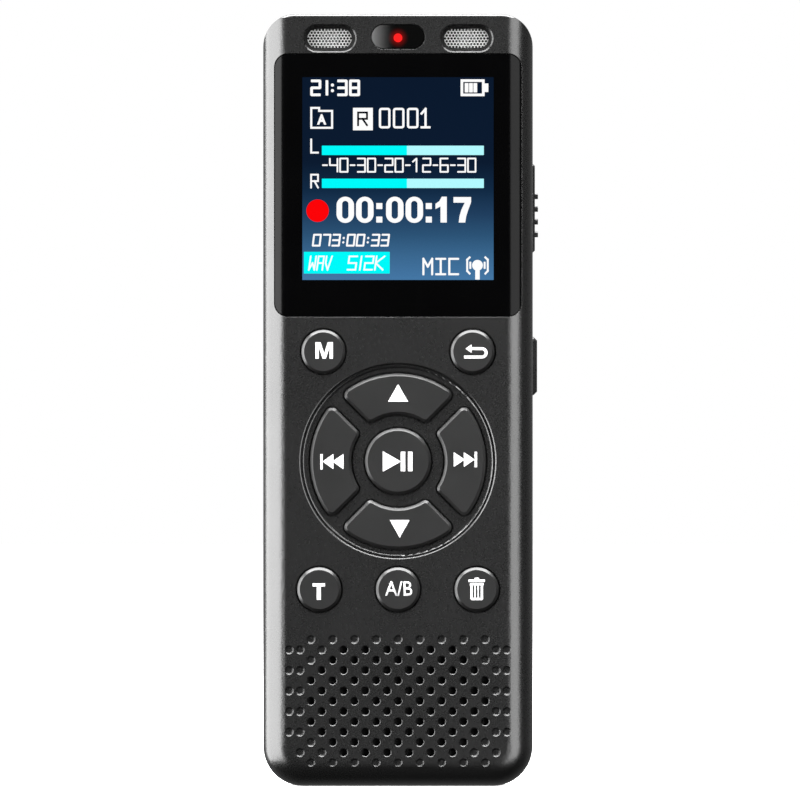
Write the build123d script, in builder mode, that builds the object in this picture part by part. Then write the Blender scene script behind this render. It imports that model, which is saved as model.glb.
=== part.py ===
from build123d import *
import os
from math import cos, radians, sin, sqrt

# Handheld voice recorder, standing on its lower end.  +Z runs up its length, the front with
# the screen and the keys faces -Y, and +X is to the right of someone looking at the front.
# The origin is the middle of the flat lower end.  All sizes are in millimetres.

# ---------------------------------------------------------------- driving dimensions: body
body_width = 36.0
body_length = 103.0
body_thickness = 12.0
wall = 1.4
top_corner_radius = 4.3
bottom_corner_radius = 5.3
front_roll = 3.5
front_top_edge = 0.4
rear_roll = 2.4
smallest_radius = 0.2
seam_flat = 0.12
tongue_height = 0.35
assembly_gap = 0.05
seam_edge = 0.1
board_gap = 0.5

# ---------------------------------------------------------------- display
window_width = 32.9
window_height = 35.0
window_corner = 1.8
window_top_margin = 5.3
window_thickness = 1.0
window_ledge = 1.1
window_edge = 0.12
display_side_gap = 0.55
display_end_gap = 0.3
panel_thickness = 1.2
backlight_thickness = 1.0
display_tape_thickness = 0.25
display_tape_side_margin = 1.0
display_tape_end_margin = 3.0
flex_width = 14.0
flex_thickness = 0.15
flex_drop = 2.4
flex_bend = 0.6
flex_reach = 1.0

# ---------------------------------------------------------------- keys
upper_key_z = 58.0
upper_key_x = 9.95
upper_key_radius = 2.925
lower_key_z = 26.3
lower_key_x = 10.5
lower_key_radius = 2.95
key_proud = 0.3
key_bevel = 0.35
key_gap = 0.2
key_hole_edge = 0.07
key_travel = 0.3
flange_reach = 0.55
flange_thickness = 0.6
plunger_radius = 1.0

pad_z = 43.4
pad_margin = 0.98
pad_step_width = 0.48
pad_step_depth = 0.28
pad_step_round = 0.25
pad_step_bulge = 0.66
pad_groove_depth = 0.24
pad_key_sunk = 0.05
play_key_radius = 4.4
sector_inner_radius = 6.25
sector_outer_radius = 11.7
sector_side_offset = 0.92
sector_outer_corner = 0.9
sector_inner_corner = 0.7
sector_flange_reach = 0.4

# ---------------------------------------------------------------- keypad under the keys
board_thickness = 1.0
speaker_board_gap = 2.2
membrane_sheet = 0.3
membrane_bump_height = 0.3
membrane_bump_radius = 2.6
membrane_side_gap = 0.1
membrane_margin = 3.0
dome_radius = 2.0
dome_top_radius = 1.1
dome_height = 0.25

# ---------------------------------------------------------------- speaker and its grille
grille_z = 11.41
grille_rows = 13
grille_row_pitch = 1.37
grille_column_pitch = 2.905
grille_hole_radius = 0.5
grille_rim_radius = 0.6
grille_rim_depth = 0.1
dimple_floor_radius = 0.36
dimple_depth = 0.24
speaker_oval_half_width = 13.24
speaker_oval_half_height = 8.2
speaker_width = 24.0
speaker_height = 15.0
speaker_corner = 3.0
speaker_gasket_margin = 0.4
cloth_thickness = 0.15
gasket_thickness = 0.35
speaker_depth = 3.1
speaker_wall = 0.8
speaker_magnet_radius = 5.5
speaker_magnet_depth = 2.2
speaker_coil_radius = 4.2
cone_depth = 1.2
cone_skin = 0.25

# ---------------------------------------------------------------- microphones and indicator
microphone_x = 9.12
microphone_drop = 3.2
microphone_width = 6.8
microphone_height = 3.4
microphone_edge = 0.2
microphone_mouth_depth = 0.7
microphone_view_width = 6.0
microphone_view_height = 2.6
mesh_thickness = 0.2
mesh_rim = 0.35
boot_width = 6.4
boot_end_gap = 0.2
boot_skin = 0.2
boot_corner = 0.6
capsule_depth = 1.4
indicator_drop = 3.0
indicator_width = 7.1
indicator_height = 3.2
indicator_edge = 0.12
indicator_flange_reach = 0.8
indicator_flange_gap = 0.1
indicator_flange_thickness = 0.4
indicator_led_width = 1.6
indicator_led_height = 0.8
indicator_led_thickness = 0.6

# ---------------------------------------------------------------- controls on the right side
button_z = 56.1
button_length = 7.8
button_height = 2.4
button_proud = 0.6
button_travel = 0.3
button_corner = 0.6
button_flange_side = 0.3
button_flange_end = 0.8
control_edge = 0.8
control_gap = 0.12
knob_drop = 25.8
knob_length = 11.8
knob_height = 3.2
knob_proud = 0.3
knob_travel = 2.5
knob_recess = 0.9
knob_corner = 0.5
knob_flange_side = 0.4
knob_flange_end = 0.5
ridge_count = 4
ridge_pitch = 1.7
ridge_width = 0.72
ridge_proud = 0.72
ridge_shift = -0.95
ridge_side_margin = 0.3
ridge_corner = 0.2
stem_length = 4.0
stem_height = 1.4
lever_width = 1.2
lever_height = 0.8
lever_length = 1.6
lever_gap = 0.05
prong_length = 1.0
prong_reach = 0.3
slide_body_depth = 3.0
slide_body_margin = 2.5
slide_slot_depth = 1.4
slide_slot_gap = 0.1
side_control_rise = 1.6
side_switch_depth = 3.0
side_switch_height = 3.0
side_switch_length = 3.6
side_switch_stroke = 0.5
side_switch_plunger_radius = 0.8

# ---------------------------------------------------------------- sockets in the left side
usb_drop = 32.0
usb_width = 8.94
usb_height = 3.26
usb_depth = 7.3
usb_wall = 0.3
usb_sunk = 0.3
socket_edge = 0.15
usb_tongue_width = 6.7
usb_tongue_thickness = 0.7
usb_tongue_sunk = 0.9
usb_tongue_root = 1.6
usb_tongue_corner = 0.2
jack_drop = 17.0
jack_body_length = 13.4
jack_body_height = 6.2
jack_body_thickness = 4.6
jack_nose_radius = 2.2
jack_bore_radius = 1.8
jack_bore_depth = 14.2
jack_body_corner = 0.3
jack_terminal_width = 1.2
jack_terminal_length = 1.0
jack_terminal_thickness = 0.3
jack_terminal_places = (3.0, 9.0)

# ---------------------------------------------------------------- parts on the back of the board
# Chips: middle across, middle below the upper end, width, height, thickness, corner radius.
processor_size = (3.0, 28.0, 8.0, 8.0, 0.9, 0.0)
memory_size = (5.0, 12.0, 14.0, 10.0, 1.0, 0.0)
crystal_size = (-6.0, 25.5, 3.2, 2.5, 0.8, 0.4)
amplifier_rise = 6.5
amplifier_width = 4.0
capacitor_width = 0.8
capacitor_length = 1.6
capacitor_places = (-5.5, -3.5, 3.5, 5.5)
capacitor_rises = (6.5, 40.5)
small_part_thickness = 0.8
component_height = 1.6

# ---------------------------------------------------------------- battery and its leads
battery_gap = 0.3
battery_corner = 1.2
battery_tape_thickness = 0.2
battery_tape_side_margin = 3.0
battery_tape_end_margin = 4.0
battery_circuit_length = 2.6
battery_circuit_margin = 2.5
battery_circuit_thickness = 1.0
connector_x = -4.5
connector_gap = 2.4
connector_width = 4.6
connector_length = 3.0
connector_height = 2.0
battery_lead_rise = 1.2
battery_lead_offset = 1.0
speaker_lead_rise = 1.3
speaker_lead_offset = 2.0
speaker_lead_depth = 1.2
speaker_lead_reach = 1.5
lead_radius = 0.35
lead_bend = 0.6

# ---------------------------------------------------------------- screws
screw_radius = 0.7
screw_head_radius = 1.3
screw_length = 6.0
screw_drive_width = 1.5
screw_drive_slot = 0.3
screw_drive_depth = 0.4
boss_radius = 1.4
boss_skin = 0.1
lower_boss_z = 6.2
upper_boss_z = 62.0
board_screw_radius = 0.6
board_screw_head_radius = 1.0
board_screw_head_height = 0.5
board_screw_reach = 1.5
standoff_radius = 1.1
standoff_heights = (33.0, 50.0)

# ---------------------------------------------------------------- places worked out from them
front_y = -body_thickness / 2
rear_y = body_thickness / 2
inner_front_y = front_y + wall
inner_rear_y = rear_y - wall
parting_y = rear_y - rear_roll - seam_flat
half_width = body_width / 2
inner_half_width = half_width - wall

window_z = body_length - window_top_margin - window_height / 2
window_back_y = front_y + window_thickness
display_width = window_width - 2 * window_ledge - 2 * display_side_gap
display_height = window_height - 2 * window_ledge - 2 * display_end_gap
panel_front_y = window_back_y + assembly_gap
backlight_front_y = panel_front_y + panel_thickness
display_tape_front_y = backlight_front_y + backlight_thickness
board_front_y = display_tape_front_y + display_tape_thickness
board_rear_y = board_front_y + board_thickness

pad_floor_y = front_y + 2 * pad_step_depth
pad_inner_step_radius = sector_outer_radius + pad_margin
pad_outer_step_radius = pad_inner_step_radius + pad_step_width
flange_front_y = inner_front_y + assembly_gap
flange_back_y = flange_front_y + flange_thickness
membrane_front_y = board_front_y - membrane_sheet
membrane_top_y = membrane_front_y - membrane_bump_height
plunger_end_y = membrane_top_y - assembly_gap - key_travel
sector_middle_radius = (sector_inner_radius + sector_outer_radius) / 2

cloth_back_y = inner_front_y + cloth_thickness
gasket_back_y = cloth_back_y + gasket_thickness
speaker_back_y = gasket_back_y + speaker_depth
speaker_top_z = grille_z + speaker_height / 2
board_bottom_z = speaker_top_z + speaker_gasket_margin + speaker_board_gap

microphone_z = body_length - microphone_drop
indicator_z = body_length - indicator_drop
indicator_flange_height = 2 * (indicator_drop - wall - indicator_flange_gap)
boot_height = 2 * (microphone_drop - wall - boot_end_gap)
capsule_radius = boot_height / 2 - boot_skin
mesh_back_y = inner_front_y - assembly_gap

side_control_y = board_rear_y + side_control_rise
button_flange_x = inner_half_width - assembly_gap
switch_front_x = button_flange_x - flange_thickness - button_travel - assembly_gap
side_switch_x = switch_front_x - side_switch_depth
knob_z = body_length - knob_drop
knob_seat_x = half_width - knob_recess
usb_z = body_length - usb_drop
usb_y = board_rear_y + usb_height / 2
jack_z = body_length - jack_drop
jack_y = board_rear_y + jack_body_thickness / 2

boss_x = half_width - rear_roll - screw_head_radius - boss_skin
boss_places = [(side * boss_x, z) for side in (-1, 1) for z in (lower_boss_z, upper_boss_z)]
standoff_x = inner_half_width - standoff_radius - board_gap
membrane_half_width = standoff_x - standoff_radius - membrane_side_gap
standoff_places = [(side * standoff_x, z) for side in (-1, 1) for z in standoff_heights]

battery_front_y = board_rear_y + component_height
battery_back_y = inner_rear_y - battery_tape_thickness
battery_width = 2 * (min(boss_x - boss_radius, side_switch_x) - battery_gap)
battery_bottom_z = board_bottom_z + battery_gap
battery_top_z = usb_z - usb_width / 2 - battery_gap - battery_circuit_length
battery_length = battery_top_z - battery_bottom_z
battery_z = (battery_bottom_z + battery_top_z) / 2

# Round keys: name, middle and radius.  Arrow keys: name and turn about the middle of the pad.
round_keys = [
    ("key_menu", -upper_key_x, upper_key_z, upper_key_radius),
    ("key_back", upper_key_x, upper_key_z, upper_key_radius),
    ("key_timer", -lower_key_x, lower_key_z, lower_key_radius),
    ("key_repeat", 0.0, lower_key_z, lower_key_radius),
    ("key_delete", lower_key_x, lower_key_z, lower_key_radius),
]
sector_keys = [("key_up", 0), ("key_previous", 90), ("key_down", 180), ("key_next", 270)]


# ---------------------------------------------------------------- planes and simple solids
def facing_front(y, x=0.0, z=0.0, turn=0.0):
    """A plane parallel to the front face, its normal towards the user, turned about it."""
    across = (cos(radians(turn)), 0, sin(radians(turn)))
    return Plane(origin=(x, y, z), x_dir=across, z_dir=(0, -1, 0))


def facing_rear(y, x=0.0, z=0.0):
    """A plane parallel to the rear face, its normal away from the user."""
    return Plane(origin=(x, y, z), x_dir=(-1, 0, 0), z_dir=(0, 1, 0))


def facing_left(x, y=0.0, z=0.0):
    """A plane parallel to the left side, its normal outwards."""
    return Plane(origin=(x, y, z), x_dir=(0, -1, 0), z_dir=(-1, 0, 0))


def facing_right(x, y=0.0, z=0.0):
    """A plane parallel to the right side, local x across the thickness, local y up."""
    return Plane(origin=(x, y, z), x_dir=(0, 1, 0), z_dir=(1, 0, 0))


def post(x, z, y_from, y_to, radius, mode=Mode.ADD):
    """A round post through the thickness, between two depths."""
    with BuildSketch(facing_front(y_to, x, z)) as end:
        Circle(radius)
    extrude(end.sketch, amount=y_to - y_from, mode=mode)


def block(x, z, width, height, y_from, y_to, corner=0.0, mode=Mode.ADD):
    """A rectangular block, its face parallel to the front, between two depths."""
    with BuildSketch(facing_front(y_to, x, z)) as end:
        if corner:
            RectangleRounded(width, height, corner)
        else:
            Rectangle(width, height)
    extrude(end.sketch, amount=y_to - y_from, mode=mode)


def capsule(x, z, width, height, y_from, y_to, mode=Mode.ADD):
    """A block with fully round ends, between two depths."""
    with BuildSketch(facing_front(y_to, x, z)) as end:
        SlotOverall(width, height)
    extrude(end.sketch, amount=y_to - y_from, mode=mode)


def side_block(y, z, height, length, x_from, x_to, corner=0.0, mode=Mode.ADD):
    """A block that runs across the width: height across the thickness, length along Z."""
    with BuildSketch(facing_right(x_from, y, z)) as end:
        if corner:
            RectangleRounded(height, length, corner)
        else:
            Rectangle(height, length)
    extrude(end.sketch, amount=x_to - x_from, mode=mode)


def side_capsule(y, z, height, length, x_from, x_to, mode=Mode.ADD):
    """A block with round ends that runs across the width."""
    with BuildSketch(facing_right(x_from, y, z)) as end:
        SlotOverall(length, height, rotation=90)
    extrude(end.sketch, amount=x_to - x_from, mode=mode)


def side_post(y, z, radius, x_from, x_to, mode=Mode.ADD):
    """A round post that runs across the width."""
    with BuildSketch(facing_right(x_from, y, z)) as end:
        Circle(radius)
    extrude(end.sketch, amount=x_to - x_from, mode=mode)


def bevel_mouth(outline, edge):
    """Cut a 45 degree bevel into a surface, from an outline that lies on it."""
    extrude(outline, amount=-edge, taper=45, mode=Mode.SUBTRACT)


def save(piece, name):
    """Label a finished piece and write it to its own file."""
    piece.label = name
    export_step(piece, f"parts/{name}.step")


# ---------------------------------------------------------------- the body's form
def drawn_in(radius, inset):
    """A corner radius on a surface that lies inset inside the outer one."""
    return max(radius - inset, smallest_radius)


def front_outline(inset, y=0.0):
    """The body's outline seen from the front."""
    with BuildSketch(facing_front(y)) as outline:
        with Locations((0, body_length / 2)):
            Rectangle(body_width - 2 * inset, body_length - 2 * inset)
        fillet(outline.vertices().group_by(Axis.Y)[-1], drawn_in(top_corner_radius, inset))
        fillet(outline.vertices().group_by(Axis.Y)[0], drawn_in(bottom_corner_radius, inset))
    return outline.sketch


def open_outline(inset):
    """The outline without its upper end, which lies far above it."""
    with BuildSketch(facing_front(0.0)) as outline:
        with Locations((0, inset)):
            Rectangle(body_width - 2 * inset, 2 * body_length, align=(Align.CENTER, Align.MIN))
        fillet(outline.vertices().group_by(Axis.Y)[0], drawn_in(bottom_corner_radius, inset))
    return outline.sketch


def body_form(inset):
    """The solid form of the body, drawn in by inset on every side. The rear edge is rounded all
    round, and the front edge rolls over at the sides and the lower end but not at the upper one."""
    half_thickness = body_thickness / 2 - inset
    with BuildPart() as rolled:
        extrude(open_outline(inset), amount=half_thickness, both=True)
        front_edges = rolled.faces().sort_by(Axis.Y)[0].edges().sort_by(Axis.Z)
        fillet(front_edges[:-1], drawn_in(front_roll, inset))
    with BuildPart() as form:
        extrude(front_outline(inset), amount=half_thickness, both=True)
        fillet(form.faces().sort_by(Axis.Y)[-1].edges(), drawn_in(rear_roll, inset))
        fillet(form.faces().sort_by(Axis.Y)[0].edges(), drawn_in(front_top_edge, inset))
        add(rolled, mode=Mode.INTERSECT)
    return form.part


def layer(form, y_from, y_to):
    """The slice of a form between two depths."""
    with BuildPart() as piece:
        add(form)
        with Locations((0, (y_from + y_to) / 2, body_length / 2)):
            Box(2 * body_width, y_to - y_from, 2 * body_length, mode=Mode.INTERSECT)
    return piece.part


outer_form = body_form(0.0)
cavity_form = body_form(wall)
rebate_form = body_form(wall / 2)
tongue_form = body_form(wall / 2 + assembly_gap)


# ---------------------------------------------------------------- outlines of the keys
def sector_outline(y, turn, grow):
    """A quarter of the ring pad, its sides parallel to the diagonals, grown all round."""
    apex = sqrt(2) * (sector_side_offset - grow)
    reach = sector_outer_radius
    with BuildSketch(facing_front(y, 0.0, pad_z, turn)) as outline:
        Circle(sector_outer_radius + grow)
        Circle(sector_inner_radius - grow, mode=Mode.SUBTRACT)
        with BuildLine():
            Polyline((0, apex), (reach, apex + reach), (-reach, apex + reach), close=True)
        make_face(mode=Mode.INTERSECT)
        corners = outline.vertices().sort_by(lambda corner: corner.X**2 + corner.Y**2)
        fillet(corners[2:], sector_outer_corner + grow)
        corners = outline.vertices().sort_by(lambda corner: corner.X**2 + corner.Y**2)
        fillet(corners[:2], sector_inner_corner + grow)
    return outline.sketch


def sector_middle(turn):
    """The middle of an arrow key, where its plunger stands."""
    x = -sector_middle_radius * sin(radians(turn))
    z = pad_z + sector_middle_radius * cos(radians(turn))
    return x, z


# ---------------------------------------------------------------- grille pattern
def grille_places():
    """Middles of the through holes and of the blind dimples, in staggered rows."""
    through = []
    blind = []
    for row in range(grille_rows):
        rise = ((grille_rows - 1) / 2 - row) * grille_row_pitch
        staggered = row % 2 == 1
        columns = [column + 0.5 for column in range(-5, 5)] if staggered else range(-4, 5)
        for column in columns:
            x = column * grille_column_pitch
            oval = (x / speaker_oval_half_width) ** 2 + (rise / speaker_oval_half_height) ** 2
            (through if oval <= 1 else blind).append((x, grille_z + rise))
        if staggered and row < grille_rows - 2:
            edge_x = 5 * grille_column_pitch
            blind.extend([(-edge_x, grille_z + rise), (edge_x, grille_z + rise)])
    return through, blind


through_holes, blind_dimples = grille_places()


# ---------------------------------------------------------------- front shell
def cut_display_opening():
    """The seat of the window, its corners rounded, and the hole for the display behind it."""
    block(0, window_z, window_width, window_height, front_y, window_back_y,
          window_corner, Mode.SUBTRACT)
    block(0, window_z, window_width - 2 * window_ledge, window_height - 2 * window_ledge,
          front_y, panel_front_y + wall, window_corner / 2, Mode.SUBTRACT)


def bevel_display_opening():
    """Break the edge of the window's seat, where it meets the face and the rolled sides."""
    seat_walls = [
        face for face in front_shell.faces()
        if abs(face.center().X) < window_width / 2 + assembly_gap
        and abs(face.center().Z - window_z) < window_height / 2 + assembly_gap
        and front_y < face.center().Y < window_back_y - assembly_gap
        and abs(face.normal_at().Y) < 0.1
    ]
    rim = [
        edge for face in seat_walls for edge in face.edges()
        if all(corner.Y < window_back_y - assembly_gap for corner in edge.vertices())
    ]
    chamfer(rim, window_edge)


def cut_pad_dish():
    """The ring pad's shallow dish, turned in two steps with a groove between, the rims rounded."""
    with BuildSketch(Plane(origin=(0, front_y, pad_z), x_dir=(1, 0, 0), z_dir=(0, 0, 1))) as profile:
        with BuildLine():
            depth = 0.0
            start = [(0.0, depth)]
            for radius, groove in (
                (pad_outer_step_radius, pad_groove_depth), (pad_inner_step_radius, 0.0)
            ):
                wall_radius = radius - pad_step_round
                bulge = pad_step_round * (1 - pad_step_bulge)
                arc_end = (wall_radius, depth + pad_step_round)
                Polyline(*start, (radius, depth))
                ThreePointArc((radius, depth), (wall_radius + bulge, depth + bulge), arc_end)
                depth += pad_step_depth
                floor = depth + groove
                start = [arc_end, (wall_radius, floor), (pad_inner_step_radius, floor)]
            Polyline(arc_end, (wall_radius, depth), (0.0, depth), (0.0, 0.0))
        make_face()
    revolve(profile.sketch, axis=Axis((0, 0, pad_z), (0, 1, 0)), mode=Mode.SUBTRACT)


def cut_key_holes():
    """Holes for the round keys in the face, and for the pad's keys in the floor of its dish."""
    for _, x, z, radius in round_keys:
        post(x, z, front_y, inner_front_y, radius + key_gap, Mode.SUBTRACT)
        with BuildSketch(facing_front(front_y, x, z)) as rim:
            Circle(radius + key_gap + key_hole_edge)
        bevel_mouth(rim.sketch, key_hole_edge)
    post(0, pad_z, pad_floor_y, inner_front_y, play_key_radius + key_gap, Mode.SUBTRACT)
    with BuildSketch(facing_front(pad_floor_y, 0, pad_z)) as rim:
        Circle(play_key_radius + key_gap + key_hole_edge)
    bevel_mouth(rim.sketch, key_hole_edge)
    for _, turn in sector_keys:
        hole = sector_outline(pad_floor_y, turn, key_gap)
        extrude(hole, amount=-wall, mode=Mode.SUBTRACT)
        bevel_mouth(sector_outline(pad_floor_y, turn, key_gap + key_hole_edge), key_hole_edge)


def cut_grille():
    """Drilled holes with a small countersink over the speaker, blind dimples round them."""
    with Locations(*[facing_front(front_y, x, z) for x, z in through_holes]):
        Cylinder(grille_hole_radius, 3 * wall, mode=Mode.SUBTRACT)
        Cone(grille_hole_radius, grille_rim_radius, grille_rim_depth,
             align=(Align.CENTER, Align.CENTER, Align.MAX), mode=Mode.SUBTRACT)
    with Locations(*[facing_front(front_y, x, z) for x, z in blind_dimples]):
        Cone(dimple_floor_radius, grille_rim_radius, dimple_depth,
             align=(Align.CENTER, Align.CENTER, Align.MAX), mode=Mode.SUBTRACT)


def cut_microphone_mouth(side):
    """A capsule-shaped mouth with a bevelled edge, a narrower view and a mesh pocket behind."""
    x = side * microphone_x
    mouth_y = front_y + microphone_mouth_depth
    capsule(x, microphone_z, microphone_width, microphone_height, front_y, mouth_y, Mode.SUBTRACT)
    with BuildSketch(facing_front(front_y, x, microphone_z)) as rim:
        SlotOverall(microphone_width + 2 * microphone_edge, microphone_height + 2 * microphone_edge)
    bevel_mouth(rim.sketch, microphone_edge)
    capsule(x, microphone_z, microphone_view_width, microphone_view_height,
            front_y, inner_front_y, Mode.SUBTRACT)
    capsule(x, microphone_z, microphone_view_width + 2 * mesh_rim,
            microphone_view_height + 2 * mesh_rim,
            mesh_back_y - mesh_thickness - assembly_gap, inner_front_y, Mode.SUBTRACT)


def cut_side_openings():
    """The button hole and knob slot on the right, and the two sockets on the left."""
    side_block(side_control_y, button_z, button_height + 2 * control_gap,
               button_length + 2 * control_gap, inner_half_width - wall, half_width,
               mode=Mode.SUBTRACT)
    slot_z = knob_z - knob_travel / 2
    side_block(side_control_y, slot_z, knob_height + 2 * control_gap,
               knob_length + knob_travel + 2 * control_gap, knob_seat_x, half_width,
               mode=Mode.SUBTRACT)
    side_block(side_control_y, slot_z, stem_height + 2 * control_gap,
               stem_length + knob_travel + 2 * control_gap, inner_half_width - wall, half_width,
               mode=Mode.SUBTRACT)
    side_capsule(usb_y, usb_z, usb_height + 2 * control_gap, usb_width + 2 * control_gap,
                 -half_width, -inner_half_width + wall, Mode.SUBTRACT)
    with BuildSketch(facing_left(-half_width, usb_y, usb_z)) as rim:
        SlotOverall(usb_width + 2 * control_gap + 2 * socket_edge,
                    usb_height + 2 * control_gap + 2 * socket_edge, rotation=90)
    bevel_mouth(rim.sketch, socket_edge)
    side_post(jack_y, jack_z, jack_nose_radius + assembly_gap,
              -half_width, -inner_half_width + wall, Mode.SUBTRACT)


def cut_indicator_hole():
    """The capsule-shaped hole for the indicator's lens, with a bevelled edge."""
    capsule(0, indicator_z, indicator_width, indicator_height,
            front_y, inner_front_y + wall, Mode.SUBTRACT)
    with BuildSketch(facing_front(front_y, 0, indicator_z)) as rim:
        SlotOverall(indicator_width + 2 * indicator_edge, indicator_height + 2 * indicator_edge)
    bevel_mouth(rim.sketch, indicator_edge)


with BuildPart() as front_shell:
    add(layer(outer_form, front_y, parting_y))
    chamfer(front_shell.faces().sort_by(Axis.Y)[-1].edges(), seam_edge)
    add(cavity_form, mode=Mode.SUBTRACT)
    add(layer(rebate_form, parting_y - tongue_height, parting_y), mode=Mode.SUBTRACT)
    cut_display_opening()
    bevel_display_opening()
    for x, z in boss_places:
        post(x, z, inner_front_y, inner_rear_y - assembly_gap, boss_radius)
        post(x, z, rear_y - screw_length, inner_rear_y, screw_radius + assembly_gap, Mode.SUBTRACT)
    for x, z in standoff_places:
        post(x, z, inner_front_y, board_front_y, standoff_radius)
        post(x, z, inner_front_y, board_front_y, board_screw_radius + assembly_gap, Mode.SUBTRACT)
    cut_pad_dish()
    cut_key_holes()
    cut_grille()
    for side in (-1, 1):
        cut_microphone_mouth(side)
    cut_indicator_hole()
    cut_side_openings()

# ---------------------------------------------------------------- rear shell
with BuildPart() as rear_shell:
    add(layer(outer_form, parting_y, rear_y))
    chamfer(rear_shell.faces().sort_by(Axis.Y)[0].edges(), seam_edge)
    add(layer(tongue_form, parting_y - tongue_height + assembly_gap, parting_y))
    add(cavity_form, mode=Mode.SUBTRACT)
    with Locations(*[facing_rear(rear_y, x, z) for x, z in boss_places]):
        CounterSinkHole(screw_radius + assembly_gap, screw_head_radius + assembly_gap,
                        depth=2 * wall, counter_sink_angle=90)

# ---------------------------------------------------------------- window and display
window_form = layer(outer_form, front_y, window_back_y)

with BuildPart() as display_window:
    add(window_form)
    block(0, window_z, window_width - 2 * assembly_gap, window_height - 2 * assembly_gap,
          front_y, window_back_y, window_corner - assembly_gap, Mode.INTERSECT)

with BuildPart() as display_panel:
    block(0, window_z, display_width, display_height, panel_front_y, backlight_front_y)

with BuildPart() as display_backlight:
    block(0, window_z, display_width, display_height,
          backlight_front_y, display_tape_front_y, window_corner / 2)

with BuildPart() as display_tape:
    block(0, window_z, display_width - 2 * display_tape_side_margin,
          display_height - 2 * display_tape_end_margin, display_tape_front_y, board_front_y)

# The flat cable leaves the lower edge of the glass, turns back and lies on the board.
flex_start_y = backlight_front_y - flex_thickness
flex_end_y = board_front_y - flex_thickness / 2
display_bottom_z = window_z - display_height / 2
with BuildPart() as display_flex:
    with BuildSketch(Plane.YZ) as flex_strip:
        with BuildLine() as flex_line:
            FilletPolyline(
                (flex_start_y, display_bottom_z),
                (flex_start_y, display_bottom_z - flex_reach),
                (flex_end_y, display_bottom_z - flex_reach),
                (flex_end_y, display_bottom_z - flex_drop),
                radius=flex_bend,
            )
        trace(line_width=flex_thickness)
    extrude(amount=flex_width / 2, both=True)

# ---------------------------------------------------------------- main board and its parts
with BuildPart() as main_board:
    extrude(front_outline(wall + board_gap, board_rear_y), amount=board_thickness)
    with Locations((0, board_front_y, board_bottom_z)):
        Box(2 * body_width, 4 * board_thickness, 2 * body_length,
            align=(Align.CENTER, Align.CENTER, Align.MAX), mode=Mode.SUBTRACT)
    for x, z in boss_places:
        post(x, z, board_front_y, board_rear_y, boss_radius + board_gap / 2, Mode.SUBTRACT)
    for x, z in standoff_places:
        post(x, z, board_front_y, board_rear_y, board_screw_radius + assembly_gap, Mode.SUBTRACT)


def chip(x, drop, width, height, thickness, corner):
    """A chip soldered flat on the back of the board."""
    with BuildPart() as body:
        block(x, body_length - drop, width, height, board_rear_y, board_rear_y + thickness, corner)
    return body.part


with BuildPart() as amplifier_chip:
    block(0.0, board_bottom_z + amplifier_rise, amplifier_width, amplifier_width,
          board_rear_y, board_rear_y + small_part_thickness)

with BuildPart() as board_capacitors:
    for rise in capacitor_rises:
        for x in capacitor_places:
            block(x, board_bottom_z + rise, capacitor_width, capacitor_length,
                  board_rear_y, board_rear_y + small_part_thickness)

# ---------------------------------------------------------------- keypad
dome_places = [(x, z) for _, x, z, _ in round_keys] + [(0.0, pad_z)]
dome_places += [sector_middle(turn) for _, turn in sector_keys]

with BuildPart() as keypad_membrane:
    membrane_bottom_z = lower_key_z - membrane_margin
    membrane_top_z = upper_key_z + membrane_margin
    block(0, (membrane_bottom_z + membrane_top_z) / 2, 2 * membrane_half_width,
          membrane_top_z - membrane_bottom_z, membrane_front_y, board_front_y)
    for x, z in dome_places:
        post(x, z, membrane_top_y, membrane_front_y, membrane_bump_radius)
    for x, z in dome_places:
        post(x, z, membrane_front_y, board_front_y, dome_radius + board_gap / 2, Mode.SUBTRACT)
    for x, z in boss_places:
        post(x, z, membrane_front_y, board_front_y, boss_radius + board_gap / 2, Mode.SUBTRACT)

with BuildPart() as key_domes:
    with Locations(*[facing_front(board_front_y, x, z) for x, z in dome_places]):
        Cone(dome_radius, dome_top_radius, dome_height,
             align=(Align.CENTER, Align.CENTER, Align.MIN))


# ---------------------------------------------------------------- keys
def round_key(x, z, radius, top_y, reach):
    """A round key: bevelled cap, flange behind the wall and plunger over its dome."""
    with BuildPart() as key:
        post(x, z, top_y, flange_front_y, radius)
        chamfer(key.faces().sort_by(Axis.Y)[0].edges(), key_bevel)
        post(x, z, flange_front_y, flange_back_y, radius + reach)
        post(x, z, flange_back_y, plunger_end_y, plunger_radius)
    return key.part


def sector_key(turn, top_y):
    """An arrow key: a bevelled quarter ring with its flange and plunger."""
    x, z = sector_middle(turn)
    with BuildPart() as key:
        extrude(sector_outline(flange_front_y, turn, 0.0), amount=flange_front_y - top_y)
        chamfer(key.faces().sort_by(Axis.Y)[0].edges(), key_bevel)
        extrude(sector_outline(flange_back_y, turn, sector_flange_reach), amount=flange_thickness)
        post(x, z, flange_back_y, plunger_end_y, plunger_radius)
    return key.part


# ---------------------------------------------------------------- speaker
with BuildPart() as speaker_cloth:
    block(0, grille_z, speaker_width + 2 * speaker_gasket_margin,
          speaker_height + 2 * speaker_gasket_margin, inner_front_y, cloth_back_y, speaker_corner)

with BuildPart() as speaker_gasket:
    block(0, grille_z, speaker_width, speaker_height, cloth_back_y, gasket_back_y, speaker_corner)
    block(0, grille_z, speaker_width - 2 * speaker_wall, speaker_height - 2 * speaker_wall,
          cloth_back_y, gasket_back_y, speaker_corner - speaker_wall, Mode.SUBTRACT)

with BuildPart() as speaker_frame:
    block(0, grille_z, speaker_width, speaker_height, gasket_back_y, speaker_back_y, speaker_corner)
    block(0, grille_z, speaker_width - 2 * speaker_wall, speaker_height - 2 * speaker_wall,
          gasket_back_y, speaker_back_y - speaker_wall, speaker_corner - speaker_wall, Mode.SUBTRACT)
    post(0, grille_z, gasket_back_y, speaker_back_y,
         speaker_coil_radius + 2 * assembly_gap + cone_skin, Mode.SUBTRACT)

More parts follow.
